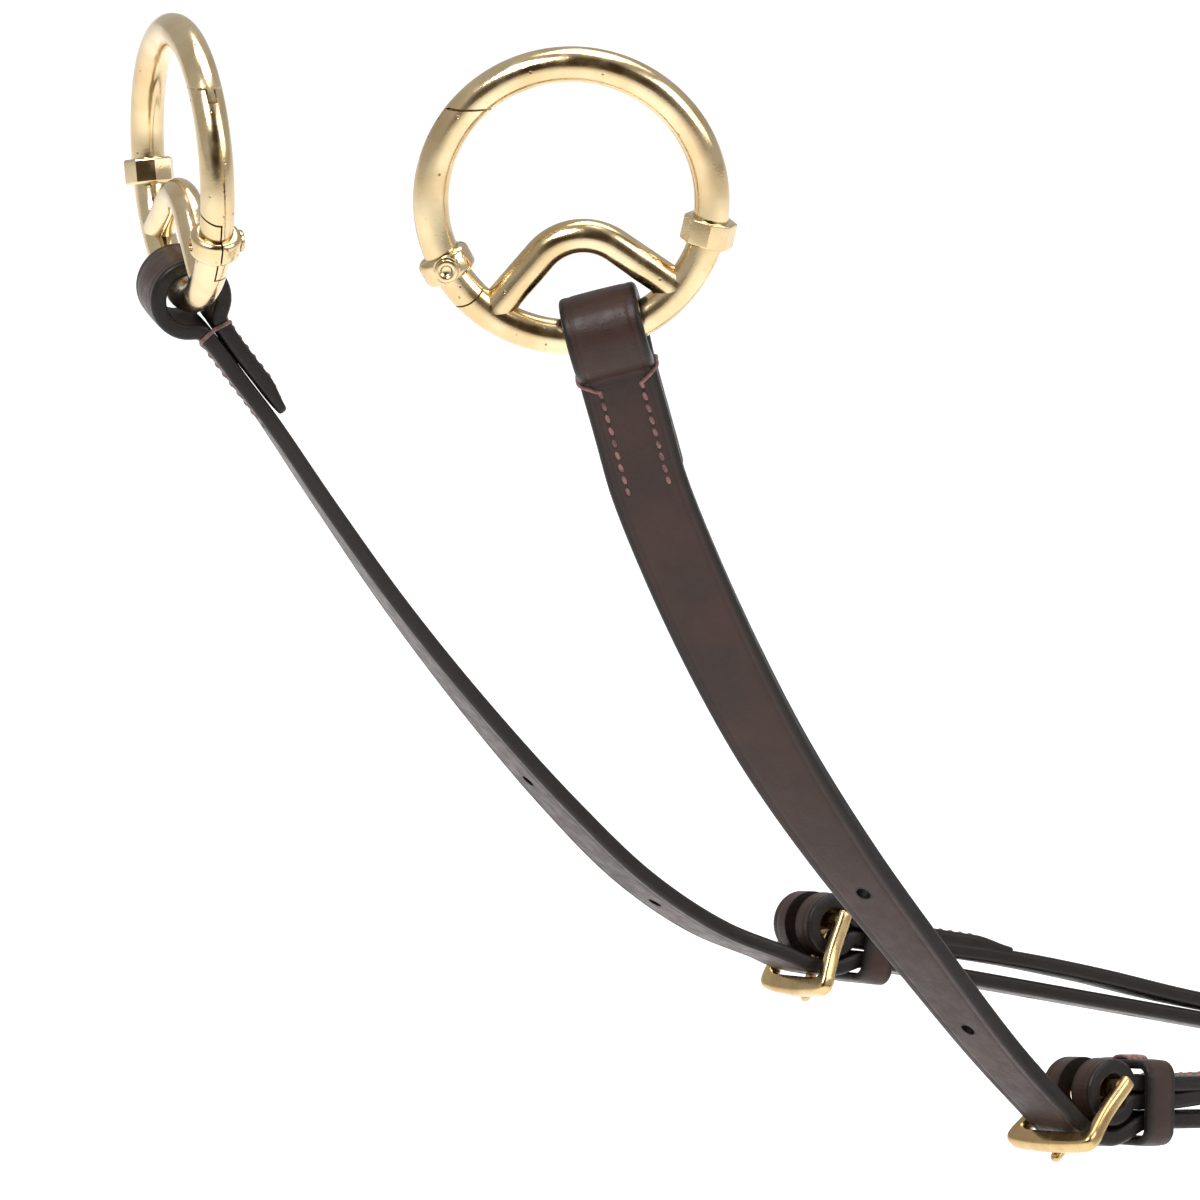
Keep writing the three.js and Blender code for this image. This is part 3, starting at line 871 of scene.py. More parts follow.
class Route:
    """A smooth line through stations, with the strap's directions all along it."""

    FINE = 0.25

    def __init__(self, stations: Sequence[Station], closed: bool = False) -> None:
        """Fits the line.

        Args:
            stations: The places that it passes, in order.
            closed: Whether it joins its own start.
        """
        rows = np.array([np.concatenate([s.place, s.across]) for s in stations])
        wrap = 3 if closed else 0
        if closed:
            rows = np.vstack([rows[-wrap:], rows, rows[: wrap + 1]])
        knots = np.concatenate([[0.0], np.cumsum(np.linalg.norm(np.diff(rows[:, :3], axis=0), axis=1))])
        first, last = knots[wrap], knots[-1 - wrap]
        at = np.linspace(first, last, int((last - first) / self.FINE) + 2)
        dense = hermite(knots, rows, at)
        self.closed = closed
        self.places = dense[:, :3]
        steps = np.linalg.norm(np.diff(self.places, axis=0), axis=1)
        self.along = np.concatenate([[0.0], np.cumsum(steps)])
        self.length = float(self.along[-1])
        self.marks = np.interp(knots[wrap : len(knots) - wrap], at, self.along)
        self.headings = unit(np.gradient(self.places, self.along, axis=0))
        flat = dense[:, 3:] - self.headings * np.sum(dense[:, 3:] * self.headings, axis=1, keepdims=True)
        self.across = unit(flat)
        self.out = np.cross(self.headings, self.across)
        turning = np.linalg.norm(np.gradient(self.headings, self.along, axis=0), axis=1)
        self.curve = np.convolve(turning, np.ones(9) / 9, mode="same")

    def read(self, table: Array, along: Array) -> Array:
        """A row of a table for each distance along."""
        return np.stack([np.interp(along, self.along, table[:, i]) for i in range(3)], axis=-1)

    def lay(self, across: Array, along: Array, out: Array) -> Array:
        """Where points of the flat strap go when it lies on this route."""
        place = self.read(self.places, along)
        beyond = np.minimum(along, 0.0) + np.maximum(along - self.length, 0.0)
        place = place + unit(self.read(self.headings, along)) * beyond[:, None]
        side = unit(self.read(self.across, along))
        top = unit(self.read(self.out, along))
        return place + side * across[:, None] + top * out[:, None]

    def nearest(self, point: Array) -> float:
        """How far along the route passes nearest to a point."""
        return float(self.along[np.argmin(np.linalg.norm(self.places - point, axis=1))])


def smooth_run(points: Sequence[Array], count: int, start: Array, end: Array) -> list[Station]:
    """Stations on a smooth curve, with the across direction turning on the way.

    Args:
        points: The points that the curve passes.
        count: How many equal steps it takes.
        start: The across direction at the start.
        end: The across direction at the end.

    Returns:
        The stations.
    """
    rows = np.array(points)
    knots = np.concatenate([[0.0], np.cumsum(np.linalg.norm(np.diff(rows, axis=0), axis=1) ** 0.5)])
    fine = hermite(knots, rows, np.linspace(0, knots[-1], 1200))
    along = np.concatenate([[0.0], np.cumsum(np.linalg.norm(np.diff(fine, axis=0), axis=1))])
    made = []
    for share in np.linspace(0, 1, count + 1):
        place = np.array([np.interp(share * along[-1], along, fine[:, i]) for i in range(3)])
        made.append(Station(place, unit(start + (end - start) * ease(share))))
    return made


@dataclass(frozen=True)
class Fold:
    """A strap's end turned back round a bar and sewn to itself.

    `across` runs along the bar, `away` leaves it and `main` points to the main layer's side.
    """

    centre: Array
    across: Array
    away: Array
    main: Array
    inside: float
    flap: float
    thickness: float = 3.0
    gap: float = 0.3
    leave_deg: float = 40.0
    steps: int = 28

    @property
    def radius(self) -> float:
        """From the bar's centre to the middle of the leather."""
        return self.inside + self.thickness / 2

    @property
    def layer(self) -> float:
        """From the fold's middle plane to the middle of a layer."""
        return (self.thickness + self.gap) / 2

    @property
    def meet(self) -> float:
        """How far from the bar's centre the layers come together."""
        a = rad(self.leave_deg)
        return self.radius * math.sin(a) + (self.radius * math.cos(a) - self.layer) / math.tan(a)

    def point(self, side: float, down: float, across: float = 0.0) -> Array:
        """A place by its side, its distance from the bar and its place across."""
        return self.centre + self.main * side + self.away * down + self.across * across

    def stations(self) -> list[Station]:
        """From the flap's end, round the bar, to the start of the main layer."""
        a, r, meet = rad(self.leave_deg), self.radius, self.meet
        spots = [(-self.layer, self.flap), (-self.layer, meet + 1.5), (-self.layer - 0.15, meet - 0.8)]
        for turn in np.linspace(-a, math.pi + a, self.steps):
            spots.append((-r * math.cos(turn), -r * math.sin(turn)))
        spots += [(self.layer + 0.15, meet - 0.8), (self.layer, meet + 1.5)]
        return [Station(self.point(side, down), self.across) for side, down in spots]


# ---- leather ----------------------------------------------------------------------------------


@dataclass(frozen=True)
class Holes:
    """A row of round punched holes."""

    first: float
    pitch: float
    count: int
    radius: float = 1.3


@dataclass(frozen=True)
class Span:
    """A stretch of a strap, from one distance along it to another."""

    low: float
    high: float


@dataclass
class Strap:
    """A strap cut flat, creased, skived and punched, then laid along its route."""

    name: str
    route: Route
    width: float
    thickness: float = 3.0
    eased: float = 0.8
    crease_in: float = 1.75
    crease_deep: float = 0.08
    crown: float = 0.12
    row_in: float = 3.0
    skive_start: float = 0.0
    skive_end: float = 0.0
    skived_to: float = 0.5
    point_end: float = 0.0
    point_left: float = 0.8
    eased_end: float = 0.75
    napped: bool = False
    sewn: list[Span] = field(default_factory=list)
    holes: list[Holes] = field(default_factory=list)
    slots: list[Span] = field(default_factory=list)
    slot_wide: float = 2.9
    corner: float = 1.3
    pitch: float = 2.1
    channel: float = 0.17

    @property
    def half(self) -> float:
        """Half the width."""
        return self.width / 2

    @property
    def row_at(self) -> float:
        """How far from the middle the stitch rows lie."""
        return self.half - self.row_in

    def columns(self) -> Array:
        """Where the flat faces have points, across half the strap."""
        flat = self.half - self.eased
        line = self.half - self.crease_in
        near = {line + d for d in (-0.45, -0.22, 0.0, 0.22, 0.45)}
        if self.sewn:
            near |= {self.row_at + d for d in (-0.8, -0.4, 0.0, 0.4, 0.8)}
        filler = [x for x in np.arange(0.6, flat, 1.2) if all(abs(x - n) > 0.45 for n in near)]
        kept = sorted({*near, *filler, flat})
        return np.array([x for x in kept if 0 < x <= flat])

    def section(self) -> Array:
        """The outline of a cut through the strap: across and out."""
        half, top = self.half, self.thickness / 2
        xs = self.columns()
        groove = self.crease_deep * np.exp(-(((xs - (half - self.crease_in)) / 0.28) ** 2))
        zs = top - groove - self.crown * (xs / half) ** 2
        rim_top = zs[-1]
        turn = np.array([rad(a) for a in (75, 60, 45, 30, 15, 0)])
        rim = np.stack(
            [half - self.eased + self.eased * np.cos(turn), rim_top - self.eased + self.eased * np.sin(turn)],
            axis=1,
        )
        quarter = np.vstack([np.stack([xs, zs], axis=1), rim])
        low = quarter[::-1] * (1, -1)
        right = np.vstack([quarter, low])
        return np.vstack([right, right[::-1] * (-1, 1)])

    def levels(self) -> Array:
        """The distances along the strap that have a ring of points."""
        marks = [0.0]
        while marks[-1] < self.route.length:
            here = marks[-1]
            curve = float(np.interp(here, self.route.along, self.route.curve))
            step = min(2.0, max(0.5, 0.1 / max(curve, 1e-6)))
            if any(s.low - 1 <= here <= s.high + 1 for s in self.sewn):
                step = min(step, self.pitch / 4)
            marks.append(here + step)
        inner = np.array(marks[1:-1])
        if self.route.closed:
            return np.concatenate([[0.0], inner[inner < self.route.length - 0.2]])
        reach = self.route.length
        tips = np.array([0.0, 0.04, 0.15, 0.32, 0.55, 0.85, 1.2])
        tail = np.linspace(1.2, max(self.point_end, 1.3), 26 if self.point_end else 2)
        inner = inner[(inner > 1.6) & (inner < reach - tail[-1] - 0.4)]
        return np.concatenate([tips, inner, reach - tail[::-1], reach - tips[::-1][1:]])

    def shares(self, along: Array) -> tuple[Array, Array]:
        """How much of its width and thickness the strap has at each distance along."""
        start, end = np.maximum(along, 0.0), np.maximum(self.route.length - along, 0.0)
        wide = np.ones_like(along)
        thick = np.ones_like(along)
        if self.route.closed:
            return wide, thick
        for gone, reach in ((start, self.corner), (end, max(self.corner, self.point_end))):
            left = self.half - self.corner if reach == self.corner else self.point_left
            wide = np.minimum(wide, (left + (self.half - left) * quarter_round(gone / reach)) / self.half)
            thick = np.minimum(thick, 0.25 + 0.75 * quarter_round(gone / self.eased_end))
        return wide, thick

    def pucker(self, across: Array, along: Array) -> Array:
        """How far the thread pulls the leather in."""
        deep = np.zeros_like(along)
        for span in self.sewn:
            inside = ease((along - span.low + 0.8) / 0.8) * ease((span.high + 0.8 - along) / 0.8)
            beat = 0.65 - 0.35 * np.cos(2 * np.pi * (along - span.low) / self.pitch)
            row = np.exp(-(((np.abs(across) - self.row_at) / 0.42) ** 2))
            deep = np.maximum(deep, self.channel * inside * row * beat)
        return deep

    def blank(self) -> bpy.types.Mesh:
        """The flat strap, before its holes."""
        section, levels = self.section(), self.levels()
        wide, thick = self.shares(levels)
        rings = np.empty((len(levels), len(section), 3))
        rings[:, :, 0] = section[None, :, 0] * wide[:, None]
        rings[:, :, 1] = levels[:, None]
        rings[:, :, 2] = section[None, :, 1] * thick[:, None]
        return skin(rings, self.route.closed)

    def cut(self, mesh: bpy.types.Mesh) -> bpy.types.Mesh:
        """The flat strap with its holes and slots."""
        work = Solid(mesh)
        for row in self.holes:
            tool = punch_recipe().bake(
                bpy.data.meshes.new("row"),
                First=row.first * MM,
                Pitch=row.pitch * MM,
                Count=row.count,
                Radius=row.radius * MM,
            )
            tool.transform(Matrix.Scale(1 / MM, 4))
            work = work - Solid(tool)
        for slot in self.slots:
            work = work - self.slot_tool(slot)
        return work.mesh

    def slot_tool(self, slot: Span) -> Solid:
        """A long hole's cutter, with round ends."""
        r = self.slot_wide / 2
        ends = [(slot.high - r, 0.0), (slot.low + r, math.pi)]
        outline = [
            (r * math.cos(start + a), centre + r * math.sin(start + a))
            for centre, start in ends
            for a in np.linspace(0, math.pi, 12)
        ]
        rings = np.array([[(x, y, z) for x, y in outline] for z in (-self.thickness, self.thickness)])
        return Solid(skin(rings))

    def marks(self, mesh: bpy.types.Mesh, flat: Array) -> None:
        """Writes what the finish reads: the flat place, and edge, crease, flesh, bend and rim."""
        across, along, out = flat.T
        wide, _ = self.shares(along)
        inset = self.half * wide - np.abs(across)
        face = (np.abs(out) > self.thickness / 2 - 0.6).astype(float)
        edge = ease((1.5 - inset) / 1.1)
        crease = face * np.exp(-(((inset - self.crease_in) / 0.3) ** 2))
        rim = 0.95 * face * self.pucker(across, along) / self.channel
        for row in self.holes:
            for i in range(row.count):
                away = np.hypot(across, along - row.first - i * row.pitch) - row.radius
                rim = np.maximum(rim, np.exp(-((np.maximum(away, 0.0) / 0.3) ** 2)))
        for slot in self.slots:
            beyond = np.maximum(np.maximum(slot.low - along, along - slot.high), 0.0)
            away = np.hypot(np.maximum(np.abs(across) - self.slot_wide / 2, 0.0), beyond)
            rim = np.maximum(rim, np.exp(-((away / 0.3) ** 2)))
        if not self.route.closed:
            tip = np.minimum(along, self.route.length - along)
            edge = np.maximum(edge, ease((0.6 - tip) / 0.45))
        flesh = (out < 0).astype(float) * face * (1 - edge) if self.napped else np.zeros_like(out)
        # bend: how sharply the route turns here; the finish lightens bends, partly as pull-up and partly as a
        # painted highlight.
        bend = np.clip(np.interp(along, self.route.along, self.route.curve) * 4.5, 0.0, 1.0)
        place = mesh.attributes.new("place", "FLOAT_VECTOR", "POINT")
        place.data.foreach_set("vector", (flat * MM).astype(np.float32).ravel())
        values = {"edge": edge, "crease": crease, "flesh": flesh, "bend": bend, "rim": rim}
        for key, value in values.items():
            made = mesh.attributes.new(key, "FLOAT", "POINT")
            made.data.foreach_set("value", value.astype(np.float32))

    def skived(self, along: Array, out: Array) -> Array:
        """The height through the strap where its flap is pared from the outside."""
        under = -self.thickness / 2
        share = np.ones_like(along)
        for gone, reach in ((along, self.skive_start), (self.route.length - along, self.skive_end)):
            if reach:
                share = np.minimum(share, self.skived_to + (1 - self.skived_to) * ease(gone / reach))
        return under + (out - under) * share

    def build(self, finish: Finish = HAVANA) -> Object:
        """The finished leather piece."""
        mesh = self.cut(self.blank())
        flat = np.empty(len(mesh.vertices) * 3)
        mesh.vertices.foreach_get("co", flat)
        flat = flat.reshape(-1, 3)
        self.marks(mesh, flat)
        across, along, out = flat.T
        pulled = out - np.sign(out) * self.pucker(across, along)
        laid = self.route.lay(across, along, self.skived(along, pulled))
        mesh.vertices.foreach_set("co", laid.ravel())
        mesh.update()
        return finished(mesh, self.name, finish, sharp=50.0)

    def line(self, across: float, span: Span, face: int, lift: float = 0.0) -> tuple[Array, Array]:
        """A sewing line on one face.

        Args:
            across: Its place across the strap.
            span: Where it starts and ends.
            face: 1 for the outer face, -1 for the inner.
            lift: How far it stands off the leather.

        Returns:
            Its points, and the direction away from the leather at each.
        """
        along = np.arange(span.low, span.high + 1e-6, 0.5)
        fixed = np.full_like(along, across)
        height = np.full_like(along, face * self.thickness / 2)
        top = self.skived(along, height) - face * self.crown * (across / self.half) ** 2
        points = self.route.lay(fixed, along, top + face * (lift - 0.75 * self.channel))
        return points, face * unit(self.route.read(self.route.out, along))


class Sewing:
    """All the thread of one body, gathered and then made in one go."""

    def __init__(self, name: str, body: str) -> None:
        """Starts with no thread."""
        self.name = name
        self.body = body
        self.runs: list[tuple[Array, Array]] = []
        self.laid: list[Array] = []

    def row(self, strap: Strap, across: float, span: Span, face: int = 1) -> None:
        """Adds a row of stitches to a strap."""
        self.runs.append(strap.line(across, span, face))

    def rows(self, strap: Strap, span: Span, face: int = 1) -> None:
        """Adds both rows of a sewn stretch."""
        for side in (-1, 1):
            self.row(strap, side * strap.row_at, span, face)

    def wrap(self, points: Array) -> None:
        """Adds a thread laid along points."""
        self.laid.append(points)

    @staticmethod
    def paths(lines: list[Array], outs: list[Array] | None = None) -> bpy.types.Mesh:
        """The mesh of open lines that a recipe starts from, in metres."""
        points = np.vstack(lines) * MM
        edges, first = [], 0
        for line in lines:
            edges += [(first + i, first + i + 1) for i in range(len(line) - 1)]
            first += len(line)
        mesh = bpy.data.meshes.new("sewing")
        mesh.from_pydata(points.tolist(), edges, [])
        if outs is not None:
            away = mesh.attributes.new("out", "FLOAT_VECTOR", "POINT")
            away.data.foreach_set("vector", np.vstack(outs).astype(np.float32).ravel())
        return mesh

    def build(self) -> Object | None:
        """The thread as one piece, riding on its body."""
        work = bmesh.new()
        if self.runs:
            path = self.paths([r[0] for r in self.runs], [r[1] for r in self.runs])
            work.from_mesh(stitch_recipe().bake(path))
        if self.laid:
            work.from_mesh(thread_recipe().bake(self.paths(self.laid)))
        mesh = bpy.data.meshes.new(self.name)
        bmesh.ops.recalc_face_normals(work, faces=work.faces)
        work.to_mesh(mesh)
        work.free()
        mesh.transform(Matrix.Scale(1 / MM, 4))
        piece = finished(mesh, self.name, LINEN, sharp=60.0)
        return mount(piece, self.body, Slot.STRAP_LEATHER)


def mount(piece: Object, body: str, slot: Slot, *nodes: str) -> Object:
    """Hangs a piece on its body.

    Args:
        piece: The finished object.
        body: The CAD body that it moves with.
        slot: The record's slot for it; not used.
        nodes: The CAD nodes that it stands for.

    Returns:
        The piece.
    """
    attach(piece, body)
    if nodes:
        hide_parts(*nodes)
    LOG.info("%-34s on %-18s %7d faces", piece.name, body, len(piece.data.polygons))
    return piece


# ---- the ring clip ----------------------------------------------------------------------------


@dataclass
class RingClip:
    """A sprung ring clip, drawn with its ring in the XZ plane and its front towards -Y."""

    side: str
    turn_deg: float
    roll_deg: float
    ring: float = 23.05
    wire: float = 2.95
    collar: float = 4.45
    collar_long: float = 4.5
    collar_deg: float = 20.0
    collar_soft: float = 0.5
    hinge_soft: float = 1.1
    nose_deg: float = 128.0
    eye_leg_deg: float = 42.0
    eye_foot_deg: float = 47.5
    eye_hump: float = 9.1
    eye_peak: float = 6.0
    fin_reach: float = 1.8
    fin_thick: float = 1.2
    stub: float = 5.6
    tail: float = 6.9
    pin: float = 1.0
    gap: float = 0.3
    hinge_long: float = 12.0

    @property
    def pin_deg(self) -> float:
        """Where the hinge pin is on the ring."""
        return 180 + self.collar_deg

    def on_ring(self, deg: float, radius: float | None = None) -> Array:
        """A place on the ring's middle line, or on another radius."""
        r = self.ring if radius is None else radius
        return vec(r * math.cos(rad(deg)), 0, r * math.sin(rad(deg)))

    def heading(self, deg: float) -> Array:
        """The direction along the ring."""
        return vec(-math.sin(rad(deg)), 0, math.cos(rad(deg)))

    def arc(self, start: float, end: float) -> Solid:
        """A stretch of the ring's wire."""
        steps = max(4, round(abs(end - start) / 2))
        places = np.array([self.on_ring(d) for d in np.linspace(start, end, steps + 1)])
        return sweep(circle(self.wire, 44), places, np.tile(Y, (steps + 1, 1)))

    def band(self, deg: float, sides: int, soft: float) -> Solid:
        """A collar round the wire, with softened rims."""
        half = self.collar_long / 2
        profile = rounded_profile(self.collar, -half, half, soft)
        return turned(profile, sides, self.heading(deg), self.on_ring(deg))

    def seam_side(self, shift: float, side: int) -> Solid:
        """All that lies on one side of the slanting seam, which is moved by shift into the gate."""
        half = 20.0
        turn = Matrix.Rotation(-rad(self.nose_deg + 45), 4, "Y")
        turn.translation = Vector(self.on_ring(self.nose_deg))
        return slab((2 * half, 20, half), vec(0, 0, side * half / 2 + shift), turn)

    def across_pin(self, radius: float, low: float, high: float, sides: int = 64) -> Solid:
        """A round bar along the hinge pin."""
        return rod(radius, Y, low, high, self.on_ring(self.pin_deg), sides)

    def crossbar(self) -> Solid:
        """The bar that closes the strap's eye: a hump on two sloping legs."""
        foot = self.on_ring(-self.eye_foot_deg)
        slope = rad(self.eye_leg_deg)
        middle = -self.eye_peak - self.eye_hump
        turns = np.linspace(math.pi / 2 + slope, math.pi / 2 - slope, 25)
        hump = [vec(self.eye_hump * math.cos(a), 0, middle + self.eye_hump * math.sin(a)) for a in turns]
        start, end = vec(-foot[0], 0, foot[2]), foot
        left = [start + (hump[0] - start) * t for t in np.linspace(0, 1, 9)[:-1]]
        right = [hump[-1] + (end - hump[-1]) * t for t in np.linspace(0, 1, 9)[1:]]
        places = np.array([*left, *hump, *right])
        return sweep(circle(self.wire - 0.1, 44), places, np.tile(Y, (len(places), 1)))

    def body(self) -> Solid:
        """The fixed casting: lower ring, nose, crossbar, hinge stub and right collar."""
        lower = self.arc(self.pin_deg - 360, self.nose_deg + 12) - self.seam_side(0, 1)
        lower = lower - self.across_pin(self.tail + self.gap, -self.hinge_long, self.gap / 2)
        stub = self.arc(self.pin_deg - 22, self.pin_deg + 3) + self.band(self.pin_deg, 64, self.hinge_soft)
        stub = stub & self.across_pin(self.stub, self.gap / 2, self.hinge_long)
        plate = slab((40, self.fin_thick, 40), self.on_ring(self.nose_deg), Matrix.Identity(4))
        fin = (self.arc(self.nose_deg - 4, self.nose_deg + 16) & plate) - self.seam_side(self.fin_reach, 1)
        made = lower + stub + fin + self.crossbar() + self.band(-self.collar_deg, 8, self.collar_soft)
        made = made - self.across_pin(self.pin + 0.15, -self.hinge_long, self.hinge_long, 32)
        return made - self.across_pin(2.7, 0, 2.7)

    def gate(self) -> Solid:
        """The hinged part of the ring, with its collar and its tail in front of the stub."""
        centre = self.on_ring(self.nose_deg)
        upper = self.arc(self.nose_deg - 12, self.pin_deg) + self.band(self.pin_deg, 64, self.hinge_soft)
        upper = upper - self.across_pin(self.stub + self.gap, -self.gap / 2, self.hinge_long)
        tail = self.arc(self.pin_deg - 3, self.pin_deg + 24)
        tail = tail & self.across_pin(self.tail, -self.hinge_long, -self.gap / 2)
        plate = slab((60, self.fin_thick + 2 * self.gap, 60), centre, Matrix.Identity(4))
        slot = self.seam_side(self.fin_reach + 2 * self.gap, -1) & plate
        made = (upper + tail) - self.seam_side(1.2 * self.gap, -1) - slot
        made = made - self.across_pin(self.pin + 0.15, -self.hinge_long, self.hinge_long, 32)
        return made - self.across_pin(2.25, -self.hinge_long, -3.9)

    def rivet(self) -> Solid:
        """The hinge pin, with a raised and dimpled head in front."""
        profile = [
            (0.0, -4.25), (0.55, -4.32), (0.85, -4.5), (1.0, -4.72), (1.15, -4.83), (1.35, -4.88),
            (1.6, -4.86), (1.82, -4.76), (1.93, -4.58), (1.95, -4.15), (self.pin, -4.15), (self.pin, 4.0),
            (self.pin - 0.1, 4.1), (0.0, 4.1),
        ]
        return turned(profile, 48, Y, vec(*self.on_ring(self.pin_deg)))

    def matrix(self, pin_at: Array) -> Matrix:
        """Where the clip stands, from where its hinge pin is."""
        turn = Matrix.Rotation(rad(self.turn_deg), 4, "Z") @ Matrix.Rotation(-rad(self.roll_deg), 4, "Y")
        ring = Vector(pin_at) - turn @ Vector(self.on_ring(self.pin_deg))
        return Matrix.Translation(ring) @ turn

    def spring(self, stand: Matrix) -> bpy.types.Mesh:
        """The coil round the pin that closes the gate."""
        mesh = coil_recipe().bake(bpy.data.meshes.new("coil"))
        mesh.transform(Matrix.Scale(1 / MM, 4))
        pin = Vector(self.on_ring(self.pin_deg)) + Vector((0, 0.75, 0))
        mesh.transform(stand @ Matrix.Translation(pin) @ Matrix.Rotation(rad(-90), 4, "X"))
        return mesh

    def build(self, pin_at: Array) -> None:
        """Makes and mounts the four pieces."""
        stand = self.matrix(pin_at)
        clip, gate = f"{self.side}_clip", f"{self.side}_gate"
        jobs = (
            ("body", self.body(), "clip_body_casting", clip, CLIP_BRASS),
            ("gate", self.gate(), "clip_gate_casting", gate, CLIP_BRASS),
            ("pin", self.rivet(), "clip_pin_rivet", clip, CLIP_BRASS),
        )
        for node, solid, name, body, finish in jobs:
            piece = finished(solid.placed(stand).mesh, f"{self.side}_{name}", finish)
            slot = Slot.BUCKLE_BRASS if node == "pin" else Slot.CLIP_BRASS
            mount(piece, body, slot, f"{self.side}_clip_{node}")
        coil = finished(self.spring(stand), f"{self.side}_clip_spring_coil", STEEL)
        mount(coil, clip, Slot.SPRING_STEEL, f"{self.side}_clip_spring")


# ---- buckles, keepers and the two sides -------------------------------------------------------


@dataclass
class Buckle:
    """A small flat buckle: u runs from its rear bar to its front bar, and y across."""

    side: str
    bar: float = 1.6
    thick: float = 2.8
    soft: float = 0.95
    rounded_rows: float = 9.0
    end_share: float = 0.35
    tongue: float = 1.0
    tongue_steps: int = 40
    tip_long: float = 0.09
    tip_share: float = 0.16
    hub_wide: float = 1.25

    def outline(self) -> tuple[Array, Array]:
        """The frame's outer and inner edges, in pairs, from one rear end to the other."""
        pairs = [
            ((-2.1, 8.9), (-1.9, 8.0)), ((-1.2, 9.6), (-0.9, 7.3)), ((5, 9.75), (4, 7.3)),
            ((9, 10.4), (8.6, 8.0)), ((11.4, 10.95), (10.2, 8.3)), ((13.3, 10.7), (10.9, 7.9)),
            ((14.3, 9.0), (11.2, 6.9)), ((14.75, 4.5), (11.3, 3.5)), ((14.9, 0), (11.3, 0)),
        ]
        outer = [p[0] for p in pairs]
        inner = [p[1] for p in pairs]
        mirror = [(u, -y) for u, y in reversed(outer[:-1])], [(u, -y) for u, y in reversed(inner[:-1])]
        rows = np.array([(*a, *b) for a, b in zip(outer + mirror[0], inner + mirror[1])])
        knots = np.arange(len(rows), dtype=float)
        fine = hermite(knots, rows, np.linspace(0, knots[-1], 160))
        return fine[:, :2], fine[:, 2:]

    def frame(self) -> Solid:
        """The bowed frame, with its rear ends rounded off, and its rear bar."""
        outer, inner = self.outline()
        middle, reach = (outer + inner) / 2, (outer - inner) / 2
        half = np.linalg.norm(reach, axis=1)
        soft = np.minimum(self.soft, half * 0.9)
        rows = np.arange(len(half))
        near_end = np.minimum(rows, rows[::-1]) / self.rounded_rows
        deep = self.end_share + (1 - self.end_share) * quarter_round(near_end)
        rings = []
        for place, out, wide, corner, share in zip(middle, reach / half[:, None], half, soft, deep):
            ring = []
            for sx, sy, start in ((1, 1, 0), (-1, 1, 90), (-1, -1, 180), (1, -1, 270)):
                for a in np.linspace(start, start + 90, 6):
                    u = sx * (wide - corner) + corner * math.cos(rad(a))
                    z = sy * (self.thick / 2 - corner) + corner * math.sin(rad(a))
                    ring.append((place[0] + out[0] * u * share, place[1] + out[1] * u * share, z * share))
            rings.append(ring)
        plate = Solid(skin(np.array(rings)))
        return plate + rod(self.bar, Y, -8.4, 8.4, vec(0, 0, 0))

    def prong(self) -> Solid:
        """The tongue, with its eye round the rear bar and its tip rounded off."""
        bends = [(0, 2.35), (3.4, 1.95), (7, 2.0), (10, 2.4), (12.8, 2.85), (15.1, 2.72)]
        spine = np.array([(u, 0.0, out) for u, out in bends])
        knots = np.concatenate([[0.0], np.cumsum(np.linalg.norm(np.diff(spine, axis=0), axis=1))])
        shares = np.linspace(0.0, 1.0, self.tongue_steps)
        places = hermite(knots, spine, shares * knots[-1])
        slim = self.tip_share + (1 - self.tip_share) * quarter_round((1 - shares) / self.tip_long)
        section = circle(self.tongue, 28) * (1.12, 0.95)
        shank = sweep(section * slim[:, None, None], places, np.tile(Y, (self.tongue_steps, 1)))
        wide, inner, outer = self.hub_wide, self.bar + 0.2, self.bar + 1.25
        hub = [(inner, -wide), (outer - 0.3, -wide), (outer, -wide + 0.3), (outer, wide - 0.3),
               (outer - 0.3, wide), (inner, wide)]
        made = shank + turned(hub, 56, Y, vec(0, 0, 0))
        return made - rod(inner, Y, -2, 2, vec(0, 0, 0), 56)

    def build(self, stand: Matrix) -> None:
        """Makes and mounts the frame and the tongue."""
        jobs = ((self.frame(), "frame", "buckle", "cast"), (self.prong(), "tongue", "tongue", "drawn"))
        for solid, node, body, way in jobs:
            piece = finished(solid.placed(stand).mesh, f"{self.side}_buckle_{node}_{way}", BUCKLE_BRASS)
            mount(piece, f"{self.side}_{body}", Slot.BUCKLE_BRASS, f"{self.side}_buckle_{node}")


